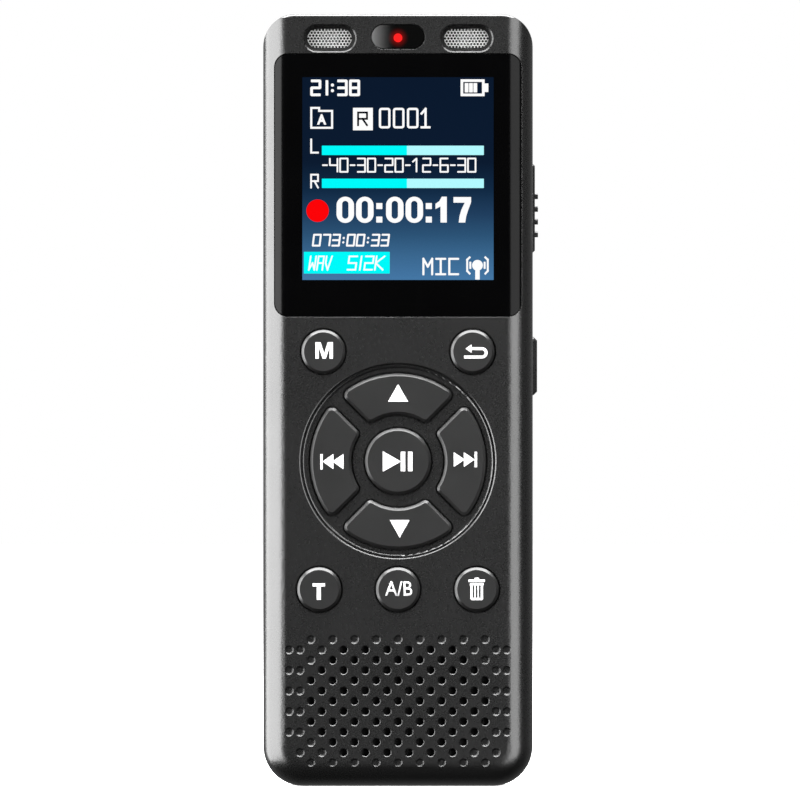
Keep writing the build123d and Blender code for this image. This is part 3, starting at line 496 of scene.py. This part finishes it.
for start in (10.2, 12.07, 13.94):
    place = on_picture(start, start + 1.55, 20.2, 22.95)
    file_number.append(ring(*place, figures_y, file_stroke, corner=0.36 * mm))
file_number += figures("i", *on_picture(15.75, 17.1, 20.2, 22.95), figures_y, file_stroke)
left_mark = figures("L", *on_picture(1.05, 2.2, 16.85, 18.85), figures_y, 0.25 * mm)
right_mark = figures("R", *on_picture(1.05, 2.2, 12.2, 14.15), figures_y, 0.23 * mm)
levels = figures(
    "-40-30-20-j2-6-30", *on_picture(2.6, 23.2, 14.3, 16.3), figures_y, 0.22 * mm, gap=0.05 * mm,
    space=0.6,
)
counter = []
for start in (4.55, 7.15, 11.15, 13.75):
    place = on_picture(start, start + 2.35, 7.6, 11.1)
    counter.append(nought(*place, figures_y, side=0.75 * mm, end=0.56 * mm))
for start in (9.85, 16.45):
    counter += panels((start, start + 0.82, 7.65, 8.45), (start, start + 0.82, 9.45, 10.25))
one = (
    (18.42, 7.65), (19.26, 7.65), (19.26, 11.1), (18.6, 11.1), (18.25, 10.5), (17.75, 10.15),
    (17.75, 9.45), (18.42, 9.8),
)
seven = (
    (20.85, 7.65), (21.72, 7.65), (21.85, 8.5), (22.12, 9.35), (22.5, 10.35), (22.5, 11.05),
    (20.15, 11.05), (20.15, 10.3), (21.65, 10.3), (21.2, 9.35), (20.95, 8.5),
)
counter += [slab(picture_left, picture_bottom, outline, figures_y) for outline in (one, seven)]
time_left = figures(
    "073:00:33", *on_picture(1.25, 11.5, 4.45, 6.15), figures_y, 0.25 * mm, gap=0.05 * mm,
    slant=0.12,
)
source = figures("MIC", *on_picture(16.0, 20.9, 0.62, 2.95), figures_y, 0.28 * mm, space=1.0)
microphone_sign = [
    disc(picture_left + 23.35 * mm, picture_bottom + 1.95 * mm, 0.72 * mm, figures_y),
    panel(*on_picture(23.05, 23.65, 0.05, 1.4), figures_y),
]
for side in (-1, 1):
    lean = side * 0.32
    spine = 23.35 + side * 1.05 + lean
    for start, end in (
        ((spine, 1.2), (spine, 2.7)), ((spine, 1.2), (spine - lean, 0.85)),
        ((spine, 2.7), (spine - lean, 3.0)), ((spine - 1.3 * lean, 1.6), (spine - 1.3 * lean, 2.3)),
    ):
        start = (picture_left + start[0] * mm, picture_bottom + start[1] * mm)
        end = (picture_left + end[0] * mm, picture_bottom + end[1] * mm)
        microphone_sign.append(bar(start, end, 0.26 * mm, figures_y))

white_parts = (
    clock + battery_outline + battery_charge + folder + file_box + file_number + left_mark
    + right_mark + levels + counter + time_left + source + microphone_sign
)
format_slant = 0.14
format_words = figures(
    "WAV", *on_picture(0.75, 3.8, 1.25, 3.25), top_figures_y, 0.21 * mm, slant=format_slant,
    space=0.6,
)
format_words += figures(
    "5l2K", *on_picture(5.9, 10.8, 1.25, 3.25), top_figures_y, 0.22 * mm, slant=format_slant,
    space=0.7, narrow={"l": 0.4},
)
file_letter = figures("R", *on_picture(7.3, 8.75, 20.5, 22.45), top_figures_y, 0.26 * mm)
format_ground = panels((0.2, 11.65, 0.85, 3.75))
level_rows = [(z, z + 1.25) for z in (12.25, 16.65)]
levels_reached = panels(*[(2.6, 13.95, *row) for row in level_rows])
levels_left = panels(*[(13.95, 24.2, *row) for row in level_rows])
dot_place = (picture_left + 2.03 * mm, picture_bottom + 9.23 * mm)
recording_dot = [disc(*dot_place, 1.5 * mm, figures_y, 48)]
for name, parts, finish in (
    ("picture_figures", white_parts, picture_white),
    ("picture_format", format_words, picture_white),
    ("picture_file_letter", file_letter, picture_dark),
    ("picture_format_ground", format_ground, picture_cyan),
    ("picture_levels_reached", levels_reached, picture_cyan),
    ("picture_levels_left", levels_left, picture_pale),
    ("picture_recording_dot", recording_dot, picture_red),
):
    thickened(finished(parts, name, finish), sheet_thickness)
bpy.data.objects.remove(unit_bar)


# ---------------------------------------------------------------- keys
# Ten hard keys of cast zinc, painted the case's grey. The paint is finer in its grain than the
# blasted case and a little duller, and the keys' bevels catch the light.
key_names = [
    "key_menu", "key_back", "key_timer", "key_repeat", "key_delete",
    "key_play", "key_up", "key_down", "key_previous", "key_next",
]
key_metal = Finish("key_metal", {"Metallic": 0.8})
key_grain = key_metal.noise(0.22 * mm, 2.0)
key_clouds = key_metal.noise(4 * mm, 3.0)
key_metal.paint(
    key_metal.mix(key_clouds, (0.078, 0.078, 0.078, 1), (0.090, 0.090, 0.090, 1)),
    0.27 + key_grain * 0.05 + key_clouds * 0.04,
    key_grain * 0.002 * mm,
)
key_metal.dress(*key_names)

# ---------------------------------------------------------------- signs on the keys
# Pad-printed in white ink, a thin raised film on each key's flat top. They are the usual signs
# of such a recorder: menu, back, timer, repeat between two points, delete and the play controls.
# The ink also gives off a faint glow in its own white: painted light that keeps it bright.
ink_thickness = 0.015 * mm
white_ink_painted_glow = Finish("white_ink_painted_glow", {"Specular IOR Level": 0.3, "Emission Strength": 0.35})
ink_grain = white_ink_painted_glow.noise(0.08 * mm, 2.0)
ink_white_and_glow = white_ink_painted_glow.mix(ink_grain, (0.86, 0.86, 0.86, 1), (0.93, 0.93, 0.93, 1))
white_ink_painted_glow.paint(ink_white_and_glow, 0.42 + ink_grain * 0.15, ink_grain * 0.002 * mm)
# Painted glow: the ink's white is also given off as light, though the ink is no lamp.
white_ink_painted_glow.feed(white_ink_painted_glow.shader, {"Emission Color": ink_white_and_glow})


def triangle(turn, left, right, bottom, top, y):
    """A flat triangle that points up, or is turned from there, and fills a box."""
    bpy.ops.mesh.primitive_circle_add(vertices=3, radius=1, fill_type="NGON")
    piece = bpy.context.object
    piece.data.transform(Matrix.Rotation(radians(turn), 4, "Z"))
    return fitted(piece, left, right, bottom, top, y)


def on_key(node, *lengths):
    """Left, right, bottom and top in millimetres from the middle of a key, in place."""
    low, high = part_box(node)
    middle = (low + high) / 2
    places = (middle.x, middle.x, middle.z, middle.z)
    return [place + length * mm for place, length in zip(places, lengths)] + [low.y]


def printed(name, node, parts):
    """A sign made of flat parts, printed on a key and moving with it."""
    thickened(finished(parts, name, white_ink_painted_glow, node), ink_thickness)


def half_ring(x, z, radius, weight, y):
    """A flat half ring, open to the left: two rounds bridged, and the left half cut away."""
    bpy.ops.mesh.primitive_circle_add(vertices=40, radius=radius + weight / 2)
    piece = bpy.context.object
    bpy.ops.object.mode_set(mode="EDIT")
    bpy.ops.mesh.primitive_circle_add(vertices=40, radius=radius - weight / 2)
    bpy.ops.mesh.select_all(action="SELECT")
    bpy.ops.mesh.bridge_edge_loops()
    bpy.ops.mesh.select_all(action="SELECT")
    bpy.ops.mesh.bisect(plane_co=(0, 0, 0), plane_no=(1, 0, 0), clear_inner=True)
    faced_up(piece)
    piece.data.transform(upright(x, y, z))
    return piece


left, _, bottom, _, y = on_key("key_menu", -1.05, 1.24, -0.93, 1.27)
letter_m = (
    (0, 0), (0.44, 0), (0.44, 1.6), (0.94, 0), (1.38, 0), (1.88, 1.6), (1.88, 0), (2.32, 0),
    (2.32, 2.2), (1.64, 2.2), (1.16, 0.66), (0.68, 2.2), (0, 2.2),
)
printed("sign_menu", "key_menu", [slab(left, bottom, letter_m, y)])
left, _, bottom, _, y = on_key("key_timer", -0.88, 0.76, -1.37, 0.83)
letter_t = (
    (0.55, 0), (1.09, 0), (1.09, 1.78), (1.66, 1.78), (1.66, 2.2), (0, 2.2), (0, 1.78),
    (0.55, 1.78),
)
printed("sign_timer", "key_timer", [slab(left, bottom, letter_t, y)])
letters_ab = words("A/B", *on_key("key_repeat", -1.7, 1.9, -0.86, 1.1), 0.004)
printed("sign_repeat", "key_repeat", [letters_ab])

left, right, bottom, _, y = on_key("key_back", -1.15, 1.8, -0.9, 1.05)
bend = 0.56 * mm
stroke = 0.38 * mm
arrow_half = 0.55 * mm
foot = bottom + stroke / 2
head = foot + 2 * bend
back_parts = [
    panel(left, right - bend, foot - stroke / 2, foot + stroke / 2, y),
    panel(left + 0.75 * mm, right - bend, head - stroke / 2, head + stroke / 2, y),
    triangle(90, left + 0.2 * mm, left + 1.0 * mm, head - arrow_half, head + arrow_half, y),
    half_ring(right - bend, foot + bend, bend, stroke, y),
]
printed("sign_back", "key_back", back_parts)

printed("sign_up", "key_up", [triangle(0, *on_key("key_up", -1.33, 1.35, -0.52, 1.82))])
printed("sign_down", "key_down", [triangle(180, *on_key("key_down", -1.1, 1.55, -1.72, 0.62))])
play_parts = [triangle(-90, *on_key("key_play", -2.03, 0.4, -1.4, 1.33))]
for start in (0.36, 1.33):
    play_parts.append(panel(*on_key("key_play", start, start + 0.6, -1.33, 1.27)))
printed("sign_play", "key_play", play_parts)
previous_parts = [panel(*on_key("key_previous", -1.9, -1.58, -1.1, 0.95))]
for start in (-1.6, -0.26):
    place = on_key("key_previous", start, start + 1.45, -1.06, 0.98)
    previous_parts.append(triangle(90, *place))
printed("sign_previous", "key_previous", previous_parts)
next_parts = [panel(*on_key("key_next", 1.76, 2.08, -0.8, 1.25))]
for start in (-1.02, 0.32):
    place = on_key("key_next", start, start + 1.45, -0.76, 1.2)
    next_parts.append(triangle(-90, *place))
printed("sign_next", "key_next", next_parts)

bin_bars = [
    (-0.3, 0.3, 1.3, 1.58), (-1.1, 1.1, 1.0, 1.34), (-0.92, 0.92, 0.56, 0.86),
    (-0.74, 0.74, -1.42, -1.1),
]
for start, weight in ((-0.84, 0.3), (-0.31, 0.17), (0.11, 0.17), (0.53, 0.3)):
    bin_bars.append((start, start + weight, -1.3, 0.8))
bin_parts = [panel(*on_key("key_delete", *sides)) for sides in bin_bars]
printed("sign_delete", "key_delete", bin_parts)

# ---------------------------------------------------------------- microphone screens
# A punched stainless sheet pressed into each of the two mouths at the top, with round holes in
# close-packed rows. A near-black funnel lines the mouth down to the sheet: painted shade that
# stands in for the dark of the deep mouth. The boot and the microphone behind the sheet make the
# holes look black.
hole_pitch = 0.436 * mm
hole_radius = 0.166 * mm
hole_sides = 12
cell_radius = hole_pitch / 3 ** 0.5
capsule_sides = 46
shade_funnel_width = 6.74 * mm
shade_funnel_height = 3.34 * mm
view_width = 6.0 * mm
view_height = 2.6 * mm
shade_funnel_sunk = 0.2 * mm
shade_funnel_clearance = 0.3 * mm
shade_funnel_wall = 0.04 * mm

mesh_steel = Finish("mesh_steel", {"Metallic": 0.6})
mesh_stain = mesh_steel.noise(0.6 * mm, 3.0)
mesh_steel.paint(
    mesh_steel.mix(mesh_stain, (0.84, 0.84, 0.83, 1), (0.97, 0.97, 0.96, 1)),
    0.36 + mesh_stain * 0.12,
    mesh_steel.noise(0.05 * mm) * 0.002 * mm,
)
mesh_steel.dress("microphone_mesh_left", "microphone_mesh_right")


def punched_screen(node):
    """A capsule-shaped sheet of six-sided cells, each with a round hole, in place of a CAD mesh."""
    low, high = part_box(node)
    middle = (low + high) / 2
    bpy.ops.mesh.primitive_circle_add(vertices=6, radius=cell_radius, fill_type="NOTHING")
    cell = bpy.context.object
    bpy.ops.object.mode_set(mode="EDIT")
    bpy.ops.mesh.subdivide(number_cuts=1)
    bpy.ops.mesh.select_all(action="DESELECT")
    bpy.ops.mesh.primitive_circle_add(
        vertices=hole_sides, radius=hole_radius, fill_type="NOTHING"
    )
    bpy.ops.mesh.select_all(action="SELECT")
    bpy.ops.mesh.bridge_edge_loops()
    bpy.ops.object.mode_set(mode="OBJECT")
    cells = []
    rows = int((high.z - low.z) / hole_pitch) + 2
    columns = int((high.x - low.x) / hole_pitch) + 3
    for row in range(-rows // 2, rows // 2 + 1):
        for column in range(-columns // 2, columns // 2 + 1):
            copy = cell.copy()
            copy.data = cell.data.copy()
            bpy.context.collection.objects.link(copy)
            across = (column + (row + 1) % 2 / 2) * hole_pitch
            copy.data.transform(Matrix.Translation((across, row * 1.5 * cell_radius, 0)))
            cells.append(copy)
    bpy.data.objects.remove(cell)
    select_only(*cells)
    bpy.ops.object.join()
    screen = bpy.context.object
    bpy.ops.object.mode_set(mode="EDIT")
    bpy.ops.mesh.select_all(action="SELECT")
    bpy.ops.mesh.remove_doubles(threshold=0.02 * mm)
    faced_up(screen)
    screen.data.transform(upright(middle.x, high.y, middle.z))
    thickened(screen, high.y - low.y)

    bpy.ops.mesh.primitive_cylinder_add(
        vertices=capsule_sides, radius=(high.z - low.z) / 2, depth=4 * (high.y - low.y)
    )
    cutter = bpy.context.object
    shift = (high.x - low.x) / 2 - (high.z - low.z) / 2
    turn = Matrix.Rotation(radians(90), 4, "X") @ Matrix.Rotation(pi / capsule_sides, 4, "Z")
    cutter.data.transform(turn)
    for vertex in cutter.data.vertices:
        vertex.co.x += shift if vertex.co.x > 0 else -shift
    cutter.data.transform(Matrix.Translation(middle))
    trim = screen.modifiers.new("trim", "BOOLEAN")
    trim.operation = "INTERSECT"
    trim.solver = "EXACT"
    trim.object = cutter
    select_only(screen)
    bpy.ops.object.modifier_apply(modifier=trim.name)
    bpy.data.objects.remove(cutter)
    return screen


def stadium(x, z, width, height, y):
    """The outline of a capsule, as a closed loop of edges that faces the user."""
    bpy.ops.mesh.primitive_circle_add(vertices=capsule_sides, radius=height / 2)
    loop = bpy.context.object
    loop.data.transform(Matrix.Rotation(pi / capsule_sides, 4, "Z"))
    for vertex in loop.data.vertices:
        vertex.co.x += (width - height) / 2 if vertex.co.x > 0 else (height - width) / 2
    loop.data.transform(upright(x, y, z))
    return loop


def mouth_shade_funnel(node):
    """A near-black funnel of painted shade in a microphone's mouth, from under its bevel down to
    its screen.
    """
    low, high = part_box(node)
    middle = (low + high) / 2
    front = stadium(middle.x, middle.z, shade_funnel_width, shade_funnel_height, face_y + shade_funnel_sunk)
    back = stadium(middle.x, middle.z, view_width, view_height, low.y - shade_funnel_clearance)
    select_only(front, back)
    bpy.ops.object.join()
    bpy.ops.object.mode_set(mode="EDIT")
    bpy.ops.mesh.select_all(action="SELECT")
    bpy.ops.mesh.bridge_edge_loops(number_cuts=2)
    bpy.ops.mesh.select_all(action="SELECT")
    bpy.ops.mesh.normals_make_consistent(inside=True)
    bpy.ops.object.mode_set(mode="OBJECT")
    return thickened(bpy.context.object, shade_funnel_wall)


# Painted shade: a near-black finish on the funnel, in place of the shadow deep in each mouth.
mouth_shade_black = Finish("mouth_shade_black", {"Specular IOR Level": 0.2})
mouth_shade_grain = mouth_shade_black.noise(0.15 * mm)
mouth_shade_black.paint(
    mouth_shade_black.mix(mouth_shade_grain, (0.001, 0.001, 0.001, 1), (0.003, 0.003, 0.003, 1)),
    0.6 + mouth_shade_grain * 0.1,
    mouth_shade_grain * 0.003 * mm,
)

for side in ("left", "right"):
    node = "microphone_mesh_" + side
    screen = finished([punched_screen(node)], "microphone_screen_" + side, mesh_steel)
    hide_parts(node)
    shade_piece = finished([mouth_shade_funnel(node)], "microphone_mouth_shade_" + side, mouth_shade_black)

# ---------------------------------------------------------------- indicator
# A smoked acrylic lens between the microphones, painted lighter towards its left end as a
# reflection of the lamp on the left. The red light behind it shows as a bright spot with a faint
# halo in the dark plastic.
lens_low, lens_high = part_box("indicator_lens")
lamp_drop = 0.15 * mm
lamp_radius = 0.58 * mm
halo_radius = 1.5 * mm
reflection_gap = 0.4 * mm
reflection_reach = 3.2 * mm
lamp_x = (lens_low.x + lens_high.x) / 2
lamp_z = (lens_low.z + lens_high.z) / 2 - lamp_drop

lens_values = {"IOR": 1.49, "Specular IOR Level": 0.35, "Emission Strength": 1.0}
lens_acrylic = Finish("lens_acrylic", lens_values)
ends = {0: lens_acrylic.place, 1: (lamp_x, lens_low.y, lamp_z)}
offset = lens_acrylic.node("VectorMath", {"operation": "SUBTRACT"}, ends)
distance = lens_acrylic.node("VectorMath", {"operation": "LENGTH"}, {0: offset}, "Value")
halo = (1 - distance * (1 / halo_radius)).clamped()
lens_haze = lens_acrylic.noise(2 * mm)
# Painted reflection: the lens's colour lightens towards its left end, where the left lamp would
# show in it.
reflection_ramp = ((lamp_x - reflection_gap - lens_acrylic.part("X")) * (1 / reflection_reach)).clamped()
painted_reflection = reflection_ramp * reflection_ramp * (0.8 + lens_haze * 0.4)
lens_acrylic.paint(
    lens_acrylic.mix(painted_reflection, (0.002, 0.002, 0.002, 1), (0.13, 0.13, 0.13, 1)),
    0.08 + lens_haze * 0.05,
    lens_haze * 0.002 * mm,
)
halo_red = lens_acrylic.mix(halo * halo, (0, 0, 0, 1), (0.42, 0.005, 0.003, 1))
lens_acrylic.feed(lens_acrylic.shader, {"Emission Color": halo_red})
lens_acrylic.dress("indicator_lens")

lamp_values = {"Roughness": 0.5, "Specular IOR Level": 0.1, "Emission Strength": 1.0}
lamp_red = Finish("lamp_red", lamp_values)
lamp_glow = lamp_red.noise(0.5 * mm)
lamp_red.paint(lamp_red.mix(lamp_glow, (0.10, 0.0, 0.0, 1), (0.14, 0.002, 0.002, 1)))
lamp_light = lamp_red.mix(lamp_glow, (0.90, 0.004, 0.004, 1), (1.0, 0.012, 0.012, 1))
lamp_red.feed(lamp_red.shader, {"Emission Color": lamp_light})
spot = finished([disc(lamp_x, lamp_z, lamp_radius, lens_low.y)], "indicator_spot", lamp_red)
thickened(spot, ink_thickness)

# ---------------------------------------------------------------- moulded plastics
# The sockets' bodies, the lever of the slide switch, the speaker's frame, the keypad and the
# light guide are moulded, and their surface is the spark-eroded texture of the mould.


def moulded(name, dark, light, roughness, grain_size, grain_depth, values=None):
    """A moulded plastic or rubber: two near shades in soft patches, and the mould's grain."""
    finish = Finish(name, values or {})
    texture = finish.noise(grain_size, 3.0)
    patches = finish.noise(5 * mm, 2.0)
    finish.paint(
        finish.mix(patches, (*dark, 1), (*light, 1)),
        roughness - 0.06 + texture * 0.12,
        texture * grain_depth,
    )
    return finish


black_plastic = moulded(
    "black_plastic", (0.016, 0.016, 0.017), (0.022, 0.022, 0.023), roughness=0.42,
    grain_size=0.12 * mm, grain_depth=0.004 * mm,
)
white_plastic = moulded(
    "white_plastic", (0.74, 0.74, 0.72), (0.82, 0.82, 0.80), roughness=0.45,
    grain_size=0.15 * mm, grain_depth=0.003 * mm,
)
boot_rubber = moulded(
    "boot_rubber", (0.010, 0.010, 0.010), (0.015, 0.015, 0.015), roughness=0.75,
    grain_size=0.2 * mm, grain_depth=0.006 * mm,
)
silicone = moulded(
    "silicone", (0.52, 0.53, 0.54), (0.62, 0.63, 0.64), roughness=0.55,
    grain_size=0.3 * mm, grain_depth=0.004 * mm, values={"Subsurface Weight": 0.1},
)
wire_insulation = moulded(
    "wire_insulation", (0.45, 0.02, 0.015), (0.55, 0.03, 0.02), roughness=0.4,
    grain_size=0.1 * mm, grain_depth=0.003 * mm,
)
chip_epoxy = moulded(
    "chip_epoxy", (0.018, 0.018, 0.020), (0.030, 0.030, 0.032), roughness=0.6,
    grain_size=0.06 * mm, grain_depth=0.004 * mm,
)
foam_tape = moulded(
    "foam_tape", (0.03, 0.03, 0.03), (0.05, 0.05, 0.05), roughness=0.9,
    grain_size=0.1 * mm, grain_depth=0.03 * mm,
)
black_plastic.dress("usb_tongue", "headphone_jack", "speaker_frame", "slide_switch_lever")
white_plastic.dress("display_backlight", "indicator_led", "battery_connector")
boot_rubber.dress("microphone_boot_left", "microphone_boot_right")
silicone.dress("keypad_membrane")
wire_insulation.dress("battery_leads", "speaker_leads")
chip_epoxy.dress("processor_chip", "memory_chip", "amplifier_chip", "board_capacitors")
foam_tape.dress("display_tape", "battery_tape", "speaker_cloth", "speaker_gasket")

# ---------------------------------------------------------------- plated and bare metals
# Screws, socket shells, switch cans, key domes and the speaker's magnet are stamped or turned
# steel under a thin plating. It shows drawing lines along the part and cloudy patches.


def plated(name, dark, light, roughness, line_size, values=None):
    """A plated metal: long fine drawing lines, and patches where the plating is duller."""
    finish = Finish(name, {"Metallic": 1.0, **(values or {})})
    lines = finish.noise(line_size, 3.0, finish.stretched(1, 1, 0.04))
    patches = finish.noise(2 * mm, 3.0)
    finish.paint(
        finish.mix(patches, (*dark, 1), (*light, 1)),
        roughness + lines * 0.10 + patches * 0.05,
        lines * 0.0015 * mm,
    )
    return finish


plated_steel = plated("plated_steel", (0.55, 0.55, 0.55), (0.66, 0.66, 0.65), 0.18, 0.06 * mm)
screw_steel = plated("screw_steel", (0.13, 0.13, 0.14), (0.19, 0.19, 0.20), 0.26, 0.05 * mm)
dome_steel = plated("dome_steel", (0.70, 0.70, 0.69), (0.80, 0.80, 0.79), 0.16, 0.05 * mm)
magnet_steel = plated("magnet_steel", (0.40, 0.40, 0.41), (0.50, 0.50, 0.51), 0.30, 0.08 * mm)
battery_pouch = plated(
    "battery_pouch", (0.50, 0.51, 0.53), (0.60, 0.61, 0.63), 0.24, 0.5 * mm, {"Coat Weight": 0.3}
)

plated_steel.dress(
    "usb_shell", "jack_terminals", "quartz_crystal", "side_switch", "slide_switch_body",
    "microphone_capsule_left", "microphone_capsule_right",
)
screw_steel.dress("case_screws", "board_screws")
dome_steel.dress("key_domes")
magnet_steel.dress("speaker_magnet")
battery_pouch.dress("battery_cell")

# ---------------------------------------------------------------- display, board and wiring
# Behind the window: the display's glass on its white light guide, an amber printed film, and a
# green glass-fibre board with copper tracks under its lacquer.
cell_pitch = 0.2 * mm
display_glass = Finish("display_glass", {"IOR": 1.52, "Roughness": 0.08})
even_cells = {"Vector": display_glass.place, "Scale": 1 / cell_pitch, "Randomness": 0.0}
cells = display_glass.node("TexVoronoi", {"distance": "CHEBYCHEV"}, even_cells)
display_glass.paint(display_glass.mix(cells, (0.012, 0.016, 0.026, 1), (0.030, 0.042, 0.070, 1)))
display_glass.dress("display_panel")
wave_repeat = 0.31


def tracked(name, ground, track, width, along):
    """A lacquered laminate: straight copper tracks, once in every width, show through as a second
    shade. A wave of scale 1 repeats every 0.31 metres."""
    finish = Finish(name, {"Coat Weight": 0.4, "Coat Roughness": 0.15})
    waves = {"Vector": finish.place, "Scale": wave_repeat / width}
    tracks = finish.node("TexWave", {"bands_direction": along}, waves).over(0.62)
    breaks = finish.noise(3.5 * mm, 0.0).over(0.5)
    weave = finish.noise(0.1 * mm, 1.0)
    finish.paint(
        finish.mix(tracks * breaks, (*ground, 1), (*track, 1)),
        0.30 + weave * 0.12,
        tracks * breaks * 0.02 * mm + weave * 0.002 * mm,
    )
    return finish


board_laminate = tracked(
    "board_laminate", (0.012, 0.075, 0.030), (0.035, 0.15, 0.060), 0.5 * mm, "X"
)
flex_film = tracked("flex_film", (0.50, 0.24, 0.045), (0.62, 0.36, 0.12), 0.4 * mm, "X")
coil_copper = tracked("coil_copper", (0.48, 0.20, 0.08), (0.72, 0.36, 0.16), 0.1 * mm, "Y")
board_laminate.dress("main_board", "battery_circuit")
flex_film.dress("display_flex")
coil_copper.dress("speaker_coil")

# ---------------------------------------------------------------- speaker cone
# Pressed black paper pulp, its fibres lying every way, with a soft coated roll at the rim.
cone_paper = Finish("cone_paper", {"Sheen Weight": 0.2})
fibres = cone_paper.noise(0.25 * mm, 5.0, cone_paper.stretched(1, 1, 0.3))
cone_paper.paint(
    cone_paper.mix(fibres, (0.016, 0.016, 0.016, 1), (0.045, 0.044, 0.042, 1)),
    0.7 + fibres * 0.2,
    fibres * 0.02 * mm,
)
cone_paper.dress("speaker_cone")

# ---------------------------------------------------------------- floor and background
# A matt white table top that runs out of sight, in a white room that is dim in front of the
# recorder and lighter behind it. The table isn't seen in the gloss, which is kept for the lamps.
floor_reach = 3.0
floor_edge = 0.3
floor_glow = 0.97

bpy.ops.mesh.primitive_plane_add(size=2 * floor_reach)
floor = bpy.context.object
bpy.ops.object.mode_set(mode="EDIT")
bpy.ops.mesh.bevel(offset=floor_edge, segments=8, affect="VERTICES")
bpy.ops.object.mode_set(mode="OBJECT")
floor.name = "floor"
table_values = {"Roughness": 0.9, "Emission Color": (1, 1, 1, 1), "Emission Strength": floor_glow}
table_white = Finish("table_white", table_values)
table_grain = table_white.noise(20 * mm, 4.0)
table_white.paint(table_white.mix(table_grain, (0.86, 0.86, 0.86, 1), (0.90, 0.90, 0.90, 1)))
floor.data.materials.append(table_white.material)
floor.visible_glossy = False
floor.visible_diffuse = False

room_growth = {"From Min": -0.2, "From Max": 0.8, "To Min": 0.02, "To Max": 0.22}
world = bpy.data.worlds.new("room")
bpy.context.scene.world = world
world.use_nodes = True
room = world.node_tree
seen = room.nodes.new("ShaderNodeLightPath")
white = room.nodes.new("ShaderNodeBackground")
white.inputs["Color"].default_value = (1, 1, 1, 1)
dim = room.nodes["Background"]
dim.inputs["Color"].default_value = (1, 1, 1, 1)
direction = room.nodes.new("ShaderNodeTexCoord")
axes = room.nodes.new("ShaderNodeSeparateXYZ")
growth = room.nodes.new("ShaderNodeMapRange")
growth.interpolation_type = "SMOOTHSTEP"
for socket, value in room_growth.items():
    growth.inputs[socket].default_value = value
room.links.new(direction.outputs["Generated"], axes.inputs["Vector"])
room.links.new(axes.outputs["Y"], growth.inputs["Value"])
room.links.new(growth.outputs["Result"], dim.inputs["Strength"])
either = room.nodes.new("ShaderNodeMixShader")
room.links.new(seen.outputs["Is Camera Ray"], either.inputs["Fac"])
room.links.new(dim.outputs["Background"], either.inputs[1])
room.links.new(white.outputs["Background"], either.inputs[2])
room.links.new(either.outputs["Shader"], room.nodes["World Output"].inputs["Surface"])

# ---------------------------------------------------------------- lamps
# Flat soft boxes set round the recorder: a bright one overhead for the upper bevels, a broad one
# to the left for the rolled edge, and a weaker one in front to the right.
lamp_target = Vector((0, 0, window_high.z / 2))


def softbox(name, azimuth, elevation, distance, wide, tall, brightness):
    """A soft box seen from the recorder: azimuth to the right of straight in front, in degrees,
    distance in metres, its width and height as angles from its middle, and its brightness."""
    turn = Matrix.Rotation(radians(azimuth), 4, "Z") @ Matrix.Rotation(radians(-elevation), 4, "X")
    place = lamp_target + turn @ Vector((0, -distance, 0))
    bpy.ops.object.light_add(type="AREA", location=place)
    lamp = bpy.context.object
    lamp.name = name
    lamp.rotation_euler = (lamp_target - place).to_track_quat("-Z", "Y").to_euler()
    lamp.data.shape = "RECTANGLE"
    lamp.data.size = 2 * distance * tan(radians(wide))
    lamp.data.size_y = 2 * distance * tan(radians(tall))
    lamp.data.energy = brightness * pi * lamp.data.size * lamp.data.size_y


softbox("lamp_overhead", azimuth=0, elevation=90, distance=0.7, wide=40, tall=28, brightness=16.0)
softbox("lamp_left", azimuth=-79, elevation=4, distance=0.8, wide=44, tall=34, brightness=7.4)
softbox("lamp_right_front", azimuth=38, elevation=4, distance=0.9, wide=20, tall=30, brightness=3.4)
